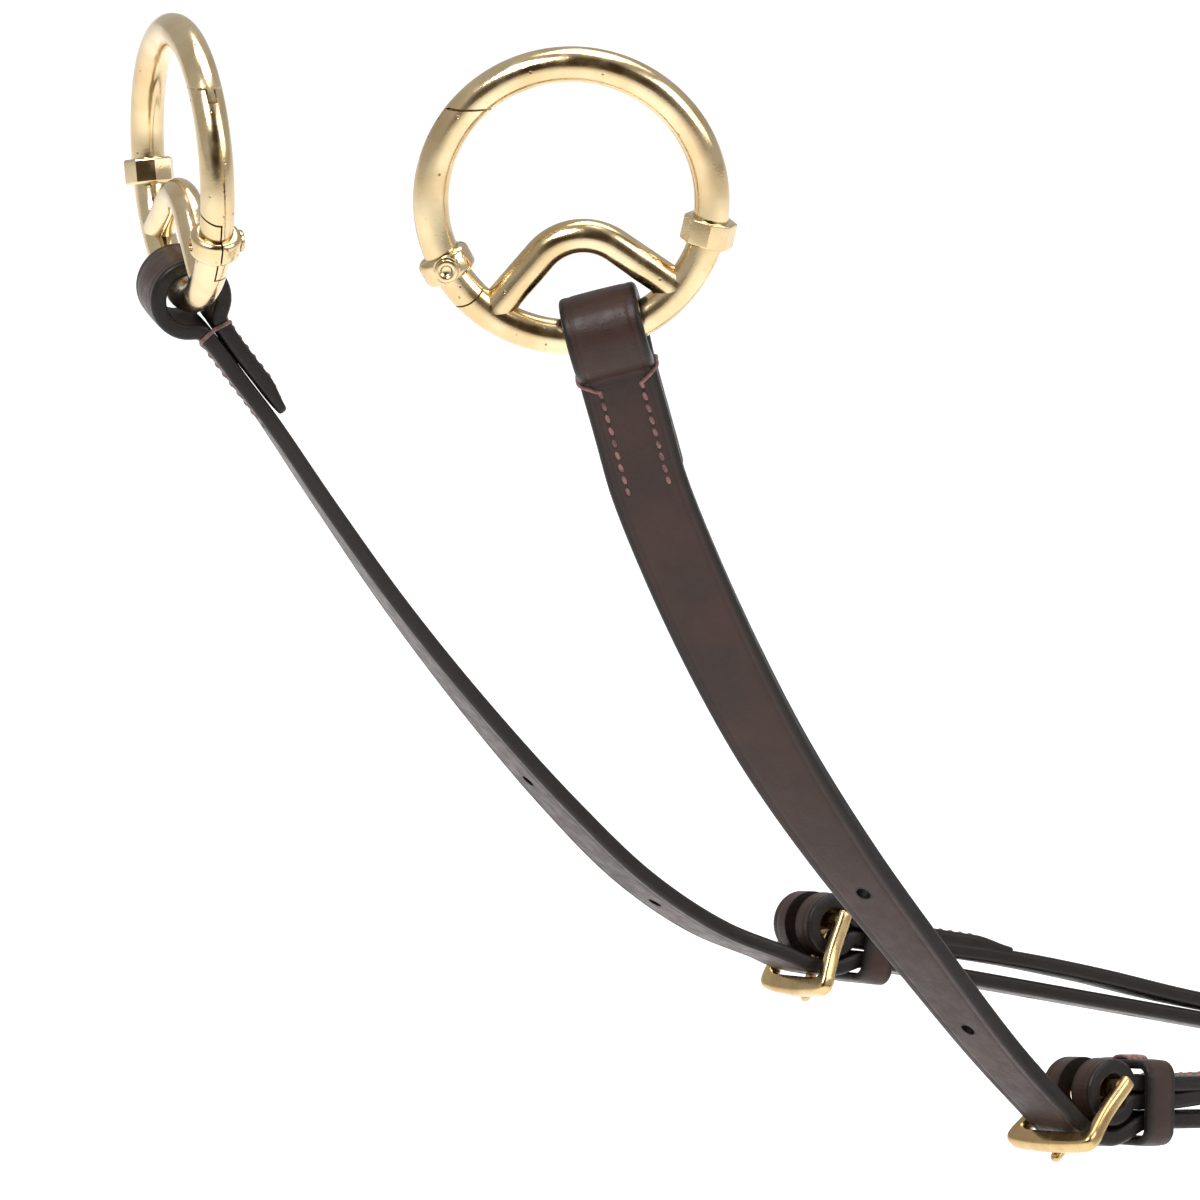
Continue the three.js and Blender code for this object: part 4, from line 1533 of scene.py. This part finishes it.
@dataclass
class Keeper:
    """A leather band round the layers of a strap, joined and stitched on top."""

    low: float
    high: float
    start: float
    long: float
    strap_half: float = 6.5
    spare: float = 0.4
    thick: float = 1.8
    corner: float = 2.3

    def route(self, joint: Matrix) -> Route:
        """The band's middle line, a rounded box that starts in the middle of its top."""
        half = self.thick / 2
        wide = self.strap_half + self.spare + half
        top, bottom = self.high + half, self.low - half
        c = self.corner
        corners = [(wide - c, bottom + c, -90), (wide - c, top - c, 0), (-wide + c, top - c, 90),
                   (-wide + c, bottom + c, 180)]
        spots = [(x + c * math.cos(rad(a)), z + c * math.sin(rad(a)))
                 for x, z, first in corners for a in np.linspace(first, first + 90, 6)]
        filled = []
        for here, there in zip(spots, spots[1:] + spots[:1]):
            gap = math.dist(here, there)
            count = max(1, round(gap / 1.6))
            for i in range(count):
                share = i / count
                filled.append(tuple(a + (b - a) * share for a, b in zip(here, there)))
        start = min(range(len(filled)), key=lambda i: abs(filled[i][0]) - filled[i][1])
        filled = filled[start:] + filled[:start]
        turn = joint.to_3x3()
        along = np.array(turn @ Vector((1, 0, 0)))
        middle = self.start + self.long / 2
        places = [np.array(joint @ Vector((middle, y, z))) for y, z in filled]
        return Route([Station(place, along) for place in places], closed=True)

    def strap(self, name: str, joint: Matrix) -> Strap:
        """The band as a strap."""
        return Strap(
            name, self.route(joint), width=self.long, thickness=self.thick, eased=0.5, crease_in=1.15,
            crease_deep=0.02, crown=0.2,
        )

    def join_threads(self, joint: Matrix, sewing: Sewing) -> None:
        """Threads over the band's join, on top."""
        lift = self.high + self.thick + 0.12
        for along in (1.7, self.long / 2, self.long - 1.7):
            for lean in (-0.5, 0.5):
                line = [(lean, -2.1, lift - 0.65), (lean * 0.8, -1.7, lift + 0.05), (0, 0, lift + 0.22),
                        (-lean * 0.8, 1.7, lift + 0.05), (-lean, 2.1, lift - 0.65)]
                points = [joint @ Vector((self.start + along + x, y, z)) for x, y, z in line]
                sewing.wrap(np.array([tuple(p) for p in points]))


@dataclass
class HarnessSide:
    """One side: its clip, saddle strap, buckle, shoulder strap and keepers."""

    side: str
    clip: RingClip
    hang_deg: float
    away: Array
    drop: list[tuple[float, float, float]]
    entry: list[tuple[float, float]]
    chest: list[tuple[float, float, float]]
    chest_side: int
    strap_wide: float = 13.0
    strap_thick: float = 3.0
    loop_inside: float = 4.3
    chape_inside: float = 3.0
    ring_inside: float = 3.9
    chape_z: float = -0.8
    main_z: float = -2.45
    tail_z: float = -5.85
    tail_long: float = 125.0
    flap: float = 27.0
    keeper_long: float = 6.3
    chest_deg: float = 56.0

    def read_joints(self, joints: dict[str, dict[str, Any]]) -> None:
        """Takes the loop, the bar and its directions from the frame's joints."""
        swing = joints[f"{self.side}_clip_swing"]
        self.loop = np.array(swing["pos_m"]) / MM
        self.loop_axis = unit(np.array(swing["axis"]))
        self.pin_at = np.array(joints[f"{self.side}_gate_hinge"]["pos_m"]) / MM
        self.bar = np.array(joints[f"{self.side}_buckle_swing"]["pos_m"]) / MM
        self.along = unit(np.array(joints[f"{self.side}_runner_slide"]["axis"]))
        self.bar_axis = unit(np.array(joints[f"{self.side}_buckle_swing"]["axis"]))
        self.up = np.cross(self.along, self.bar_axis)

    def joint_matrix(self) -> Matrix:
        """The buckle joint's frame: +X along the shoulder strap, from the rear bar."""
        return frame_matrix(self.along, self.bar_axis, self.up, self.bar)

    def buckle_matrix(self) -> Matrix:
        """The buckle's own frame: +X from its rear bar to its front bar."""
        return self.joint_matrix() @ Matrix.Rotation(rad(180 - self.hang_deg), 4, "Y")

    def in_joint(self, x: float, z: float, y: float = 0.0) -> Array:
        """A place in the buckle joint's frame."""
        return np.array(self.joint_matrix() @ Vector((x, y, z)))

    def saddle_fold(self) -> Fold:
        """The loop round the clip."""
        away = unit(self.away - self.loop_axis * float(self.away @ self.loop_axis))
        main = np.cross(away, self.loop_axis)
        return Fold(self.loop, self.loop_axis, away, main, self.loop_inside, self.flap)

    def saddle_strap(self) -> tuple[Strap, Fold]:
        """The strap from the clip to the buckle, and its tail."""
        fold = self.saddle_fold()
        head = fold.stations()
        entry = [self.in_joint(x, z) for x, z in self.entry]
        drop = smooth_run(
            [fold.point(fold.layer, 19), fold.point(fold.layer, 27), *[vec(*p) for p in self.drop], entry[0]],
            44, self.loop_axis, -self.bar_axis,
        )
        under = [(0, -8.75), (2.6, -8.2), (5, -7), (7, -6.1), (9, self.tail_z), (14, self.tail_z)]
        under += [(x, self.tail_z) for x in (40, 80, self.tail_long)]
        tail = [Station(p, -self.bar_axis) for p in [*entry[1:], *(self.in_joint(x, z) for x, z in under)]]
        route = Route([*head, *drop, *tail])
        first = len(head)
        holes = [route.marks[first + i] for i in (27, 37)]
        pitch = holes[1] - holes[0]
        bar_at = route.nearest(self.in_joint(0, -8.75))
        prong_at = route.nearest(np.array(self.buckle_matrix() @ Vector((8.2, 0, 3.1))))
        sewn_long = self.flap - fold.meet
        leave = route.marks[first - 1]
        strap = Strap(
            f"{self.side}_saddle_strap_leather", route, self.strap_wide, self.strap_thick,
            skive_start=7.0, skived_to=0.62, point_end=15.0, napped=True,
            sewn=[Span(2.2, sewn_long), Span(leave + 0.6, leave + sewn_long - 1.0)],
            holes=[Holes(holes[0], pitch, 2), Holes(bar_at + 26, 0.62 * pitch, 4)],
            slots=[Span(prong_at - 3.6, prong_at + 3.6)],
        )
        return strap, fold

    def sew_loop(self, strap: Strap, fold: Fold, sewing: Sewing) -> None:
        """Sews the clip loop: two rows on each face, and a thread round each edge to start them."""
        for span in strap.sewn:
            sewing.rows(strap, span)
        start, side_out = fold.meet + 0.2, fold.layer + strap.thickness / 2
        row, edge = strap.row_at, strap.half
        spots = [
            (row, 1.6, side_out - 0.4), (row + 0.3, 1.4, side_out - 0.02), (edge - 0.7, 0.1, side_out - 0.05),
            (edge + 0.16, -0.4, side_out - 1.0), (edge + 0.22, -0.6, 0.0),
            (edge + 0.16, -0.2, 1.0 - side_out), (edge - 0.7, 0.3, 0.05 - side_out),
            (row, 1.8, 0.4 - side_out),
        ]
        for s in (-1, 1):
            points = [fold.point(out, start + down, s * across) for across, down, out in spots]
            sewing.wrap(np.array(points))

    def shoulder_strap(self, ring: Array, ring_radius: float) -> Strap:
        """The strap from the buckle to the chest ring."""
        across = -self.bar_axis
        chape = Fold(self.in_joint(0, self.chape_z), across, self.along, -self.up, self.chape_inside, 40.0)
        bowed = [(13, self.main_z), (24, -1.5), (40, -0.9), (60, -1.2), (80, -2.2), (92, self.main_z),
                 (130, self.main_z)]
        straight = [Station(self.in_joint(x, z), across) for x, z in bowed]
        fold = self.ring_fold(ring, ring_radius)
        curve = smooth_run(
            [self.in_joint(134, self.main_z), *[vec(*p) for p in self.chest], fold.point(fold.layer, 34),
             fold.point(fold.layer, 18)],
            24, across, fold.across,
        )
        route = Route([*chape.stations(), *straight, *curve, *reversed(fold.stations())])
        end = route.length
        open_from = route.nearest(self.in_joint(4.6, self.chape_z + chape.layer))
        open_to = route.nearest(self.in_joint(4.6, self.chape_z - chape.layer))
        ring_sewn = fold.flap - fold.meet
        turn_back = route.nearest(fold.point(fold.layer, fold.meet + 1.5))
        return Strap(
            f"{self.side}_shoulder_strap_leather", route, self.strap_wide, self.strap_thick,
            skive_start=9.0, skive_end=8.0, skived_to=0.6, slot_wide=3.6,
            sewn=[Span(2.2, 40.0 - 15.5), Span(end - ring_sewn + 2.0, end - 2.2),
                  Span(turn_back - ring_sewn + 4.0, turn_back - 0.4)],
            slots=[Span(open_from, open_to)],
        )

    def ring_fold(self, ring: Array, radius: float) -> Fold:
        """The loop round the chest ring."""
        a, s, reach = rad(self.chest_deg), self.chest_side, rad(30)
        centre = ring + vec(0, s * radius * math.sin(a), radius * math.cos(a))
        across = vec(0, -math.cos(a), s * math.sin(a))
        away = vec(-math.cos(reach), s * math.sin(a) * math.sin(reach), math.cos(a) * math.sin(reach))
        return Fold(centre, across, away, np.cross(away, across), self.ring_inside, 30.0)

    def build(
        self, joints: dict[str, dict[str, Any]], ring: Array, ring_radius: float, sewing: Sewing
    ) -> None:
        """Makes and mounts everything on this side."""
        self.read_joints(joints)
        self.clip.build(self.pin_at)
        strap, fold = self.saddle_strap()
        mount(strap.build(), "harness", Slot.STRAP_LEATHER, f"{self.side}_saddle_strap")
        self.sew_loop(strap, fold, sewing)
        shoulder = self.shoulder_strap(ring, ring_radius)
        mount(shoulder.build(), "harness", Slot.STRAP_LEATHER, f"{self.side}_shoulder_strap")
        for span in shoulder.sewn:
            sewing.rows(shoulder, span)
        Buckle(self.side).build(self.buckle_matrix())
        joint = self.joint_matrix()
        half = self.strap_thick / 2
        fixed = Keeper(-8.5, 3.15, 6.2, self.keeper_long)
        runner = Keeper(self.tail_z - half - 0.4, self.main_z + half + 0.4, 97.0, self.keeper_long + 1)
        for kind, body, keeper in (("fixed", "harness", fixed), ("runner", f"{self.side}_runner", runner)):
            band = keeper.strap(f"{self.side}_{kind}_keeper_leather", joint)
            mount(band.build(), body, Slot.STRAP_LEATHER, f"{self.side}_{kind}_keeper")
            own = sewing if kind == "fixed" else Sewing(f"{self.side}_runner_keeper_thread", body)
            keeper.join_threads(joint, own)
            if own is not sewing:
                own.build()


# ---- the chest: ring, girth strap and running fork --------------------------------------------


@dataclass
class WireRing:
    """A closed ring of round brass wire."""

    node: str
    body: str
    radius: float
    wire: float

    def centre(self) -> Array:
        """Its middle, from the frame."""
        low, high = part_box(self.node)
        return np.array((low + high) / 2) / MM

    def build(self, axis: Array) -> None:
        """Makes and mounts the ring."""
        mesh = ring_recipe(CLIP_BRASS).bake(
            bpy.data.meshes.new("ring"), Radius=self.radius * MM, Wire=self.wire * MM
        )
        mesh.transform(Matrix.Scale(1 / MM, 4))
        turn = Vector((0, 0, 1)).rotation_difference(Vector(axis)).to_matrix().to_4x4()
        mesh.transform(Matrix.Translation(Vector(self.centre())) @ turn)
        piece = finished(mesh, f"{self.node}_wire", CLIP_BRASS)
        mount(piece, self.body, Slot.CLIP_BRASS, self.node)


@dataclass
class GirthStrap:
    """The strap from the chest ring down to the loop that the girth passes through."""

    width: float = 20.0
    thickness: float = 3.0
    inside: float = 5.3
    loop_half: float = 15.0
    loop_low: float = 205.0
    corner: float = 9.0

    def strap(self, top: Array) -> Strap:
        """The strap, hung from the ring's lowest point."""
        fold = Fold(top, -Y, -Z, -X, self.inside, 40.0)
        middle, c = self.loop_half - self.corner, self.corner
        turns = np.linspace(0, math.pi / 2, 8)
        low = [(middle + c * math.cos(a), self.loop_low - c + c * math.sin(a)) for a in turns]
        half = [(fold.layer, 112), (2.6, 118), (6, 124), (11, 131), (14.2, 139), (self.loop_half, 150), *low]
        other = [(-o, d) for o, d in reversed(half)]
        line = [(fold.layer, 60), *half, *other, (-fold.layer, 88)]
        route = Route([*fold.stations(), *[Station(fold.point(o, d), -Y) for o, d in line]])
        leave = route.nearest(fold.point(fold.layer, fold.meet + 1.5))
        join = route.nearest(fold.point(-fold.layer, 112))
        join_front = route.nearest(fold.point(fold.layer, 112))
        return Strap(
            "girth_strap_leather", route, self.width, self.thickness, crease_in=2.2, row_in=3.6, corner=2.0,
            skive_start=9.0, skive_end=9.0, skived_to=0.6,
            sewn=[Span(2.2, 40 - fold.meet - 2.5), Span(leave + 1.2, leave + 38 - fold.meet - 4.0),
                  Span(join + 1.0, route.length - 2.2), Span(join_front - 21.5, join_front - 1.0)],
        )

    def build(self, top: Array) -> None:
        """Makes and mounts the strap and its thread."""
        strap = self.strap(top)
        mount(strap.build(), "girth_strap", Slot.STRAP_LEATHER, "girth_strap")
        sewing = Sewing("girth_strap_thread", "girth_strap")
        for span in strap.sewn:
            sewing.rows(strap, span)
        sewing.build()


@dataclass
class RunningFork:
    """The fork that the reins run through: a stem and two branches with their rings."""

    lean_deg: float = 14.0
    spread_deg: float = 10.0
    stem_wide: float = 14.0
    branch_wide: float = 12.0
    thickness: float = 3.0
    stem_inside: float = 3.9
    rein_inside: float = 3.6
    branch_top: float = 62.0
    branch_long: float = 170.0
    ring_radius: float = 15.0
    ring_wire: float = 2.0

    @property
    def down(self) -> Array:
        """The way the fork hangs."""
        return vec(math.sin(rad(self.lean_deg)), 0, -math.cos(rad(self.lean_deg)))

    @property
    def front(self) -> Array:
        """The way its outer face looks."""
        return vec(math.cos(rad(self.lean_deg)), 0, math.sin(rad(self.lean_deg)))

    def stem(self, top: Array, sewing: Sewing) -> float:
        """The stem's strap. Returns the depth of a layer from the fold's middle."""
        fold = Fold(top, Y, self.down, self.front, self.stem_inside, 33.0)
        foot = fold.point(fold.layer, self.branch_top + 34)
        middle = fold.point(fold.layer, self.branch_top)
        route = Route([*fold.stations(), Station(middle, Y), Station(foot, Y)])
        leave = route.nearest(fold.point(fold.layer, fold.meet + 1.5))
        strap = Strap(
            "fork_stem_leather", route, self.stem_wide, self.thickness,
            corner=2.0, skive_start=9.0, skived_to=0.6,
            sewn=[Span(2.2, 33 - fold.meet - 1.5), Span(leave + 0.6, leave + 31 - fold.meet - 3.0),
                  Span(route.length - 31, route.length - 2.4)],
        )
        mount(strap.build(), "fork", Slot.STRAP_LEATHER, "fork_stem")
        for span in strap.sewn:
            sewing.rows(strap, span)
        return fold.layer

    def branch(self, side: str, s: int, top: Array, depth: float, sewing: Sewing) -> None:
        """One branch, with the ring at its end."""
        spread = rad(self.spread_deg)
        down = self.down * math.cos(spread) + Y * s * math.sin(spread)
        across = Y * math.cos(spread) - self.down * s * math.sin(spread)
        layer = (self.thickness + 0.3) / 2
        start = top + self.front * depth + self.down * self.branch_top
        centre = start + down * self.branch_long - self.front * layer
        fold = Fold(centre, across, -down, self.front, self.rein_inside, 26.0)
        route = Route([Station(start, across), Station(start + down * 60, across),
                       Station(start + down * 120, across), *reversed(fold.stations())])
        turn_back = route.nearest(fold.point(fold.layer, fold.meet + 1.5))
        sewn = fold.flap - fold.meet
        strap = Strap(
            f"{side}_fork_branch_leather", route, self.branch_wide, self.thickness,
            skive_end=8.0, skived_to=0.6, row_in=2.8,
            sewn=[Span(route.length - sewn + 2.0, route.length - 2.2),
                  Span(turn_back - sewn + 3.8, turn_back - 0.4)],
        )
        mount(strap.build(), "fork", Slot.STRAP_LEATHER, f"{side}_fork_branch")
        for span in strap.sewn:
            sewing.rows(strap, span)
        WireRing(f"{side}_rein_ring", f"{side}_rein_ring", self.ring_radius, self.ring_wire).build(self.front)

    def build(self, top: Array) -> None:
        """Makes and mounts the whole fork."""
        sewing = Sewing("fork_thread", "fork")
        layer = self.stem(top, sewing)
        step = self.thickness + 0.3
        self.branch("right", -1, top, layer - step, sewing)
        self.branch("left", 1, top, layer - 2 * step, sewing)
        sewing.build()


# ---- the studio -------------------------------------------------------------------------------


@dataclass
class Studio:
    """A pale floor, soft lights and the camera."""

    azimuth_deg: float = -27.0
    elevation_deg: float = 17.0
    distance: float = 1400.0
    aside: float = 4.7
    below: float = 65.36
    lens: float = 256.2
    floor_drop: float = 0.1
    floor_reach: float = 14.0
    dim_rise_deg: float = 14.0
    dim_reach_deg: float = 46.0
    dim_core_deg: float = 20.0
    dim_tone: Colour = (0.12, 0.085, 0.05)
    room_strength: float = 0.55

    def directions(self) -> tuple[Array, Array, Array]:
        """The camera's right, up and forward."""
        a, e = rad(self.azimuth_deg), rad(self.elevation_deg)
        forward = vec(-math.sin(a) * math.cos(e), math.cos(a) * math.cos(e), -math.sin(e))
        right = vec(math.cos(a), math.sin(a), 0)
        return right, np.cross(right, forward), forward

    def camera(self, target: Array) -> None:
        """Aims the camera past the ring at the target."""
        right, up, forward = self.directions()
        place = target - forward * self.distance + right * self.aside - up * self.below
        data = bpy.data.cameras.new("camera")
        data.lens, data.sensor_width, data.clip_start, data.clip_end = self.lens, 36.0, 0.01, 100.0
        made = bpy.data.objects.new("camera", data)
        made.matrix_world = frame_matrix(right, up, -forward, place * MM)
        bpy.context.scene.collection.objects.link(made)
        bpy.context.scene.camera = made

    def floor(self, level: float) -> None:
        """A wide round card under the object."""
        work = bmesh.new()
        bmesh.ops.create_circle(work, cap_ends=True, segments=96, radius=self.floor_reach)
        mesh = bpy.data.meshes.new("floor")
        work.to_mesh(mesh)
        work.free()
        mesh.transform(Matrix.Translation((0, 0, level)))
        mesh.materials.append(FLOOR.material())
        show("floor", mesh)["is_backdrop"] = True

    def softbox(
        self, name: str, away: float, azimuth: float, elevation: float, side: float, watts: float
    ) -> None:
        """A square soft light that looks at the clips."""
        a, e = rad(azimuth), rad(elevation)
        back = Vector((math.sin(a) * math.cos(e), -math.cos(a) * math.cos(e), math.sin(e)))
        data = bpy.data.lights.new(name, "AREA")
        data.shape, data.size, data.energy = "SQUARE", side, watts
        lamp = bpy.data.objects.new(name, data)
        aim = (-back).to_track_quat("-Z", "Y").to_matrix().to_4x4()
        lamp.matrix_world = Matrix.Translation(back * away) @ aim
        bpy.context.scene.collection.objects.link(lamp)

    def surround(self) -> None:
        """A pale room with a dim brown patch round and above the camera, for metal to reflect."""
        world = bpy.data.worlds.new("studio")
        bpy.context.scene.world = world
        world.use_nodes = True
        tree = Graph(world.node_tree)
        _, up, forward = self.directions()
        dim = up * math.sin(rad(self.dim_rise_deg)) - forward * math.cos(rad(self.dim_rise_deg))
        reach, core = math.cos(rad(self.dim_reach_deg)), math.cos(rad(self.dim_core_deg))
        way = tree.add("ShaderNodeTexCoord").outputs["Generated"]
        facing = tree.add("ShaderNodeVectorMath", {0: way, 1: tuple(dim)}, operation="DOT_PRODUCT")
        share = tree.add(
            "ShaderNodeMapRange",
            {0: facing.outputs["Value"], 1: reach, 2: core, 3: 0.0, 4: 1.0},
            interpolation_type="SMOOTHSTEP",
        )
        tone = tree.add(
            "ShaderNodeMix",
            {0: share.outputs[0], 6: (1.0, 1.0, 1.0, 1.0), 7: (*self.dim_tone, 1.0)},
            data_type="RGBA",
        )
        light = tree.add("ShaderNodeBackground", {"Color": tone.outputs[2], "Strength": self.room_strength})
        tree.add("ShaderNodeOutputWorld", {"Surface": light.outputs[0]})

    def build(self, target: Array, level: float) -> None:
        """Sets up the whole studio."""
        self.camera(target)
        self.floor(level)
        self.surround()
        self.softbox("key", 2.2, -60.0, 50.0, 0.9, 40.0)
        self.softbox("fill", 2.4, 40.0, 30.0, 1.4, 20.0)
        self.softbox("top", 2.2, 120.0, 72.0, 1.6, 30.0)
        bpy.context.scene.view_settings.view_transform = "Standard"


# ---- the whole ---------------------------------------------------------------------------------

RIGHT = HarnessSide(
    "right",
    RingClip("right", turn_deg=-27.0, roll_deg=7.5),
    hang_deg=46.4,
    away=vec(0.281, 0, -0.96),
    drop=[
        (17.4, -3.9, -61.5), (26.3, -3.5, -80.3), (37, -3, -99.8),
        (50.2, -2.4, -119.8), (65.7, -1.5, -140.5), (82.2, -0.6, -161.8),
    ],
    entry=[(-7.77, -5.5), (-5.2, -7.3), (-2.6, -8.4)],
    chest=[(266, 25.5, -210), (305, 23, -223), (342, 18.5, -238)],
    chest_side=-1,
)

LEFT = HarnessSide(
    "left",
    RingClip("left", turn_deg=81.0, roll_deg=3.0),
    hang_deg=78.0,
    away=vec(0.56, -0.114, -0.82),
    drop=[
        (0.8, 98.5, -77.3), (14.8, 99.5, -98), (30.4, 100, -119.1),
        (47.8, 100, -140.6), (63.4, 100, -157.4), (78.7, 100, -169.4),
    ],
    entry=[(-9.5, -7.4), (-6, -8.25), (-3.3, -8.6)],
    chest=[(265, 99.5, -226), (300, 97, -233.5), (335, 92.5, -240)],
    chest_side=1,
)


def main() -> None:
    """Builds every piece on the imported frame."""
    logging.basicConfig(level=logging.INFO, format="%(name)s: %(message)s", stream=sys.stdout)
    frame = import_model()
    cad_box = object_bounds()
    joints = {j["name"]: j for j in frame["joints"]}
    chest_ring = WireRing("chest_ring", "chest_ring", radius=22.5, wire=2.5)
    centre = chest_ring.centre()
    right_ring = np.zeros(3)
    Studio().build(right_ring, cad_box[0].z - Studio.floor_drop)

    sewing = Sewing("harness_thread", "harness")
    for side in (RIGHT, LEFT):
        side.build(joints, centre, chest_ring.radius, sewing)
    sewing.build()
    chest_ring.build(X)
    GirthStrap().build(centre - Z * chest_ring.radius)
    RunningFork().build(centre + Z * chest_ring.radius)

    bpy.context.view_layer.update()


if __name__ == "__main__":
    main()
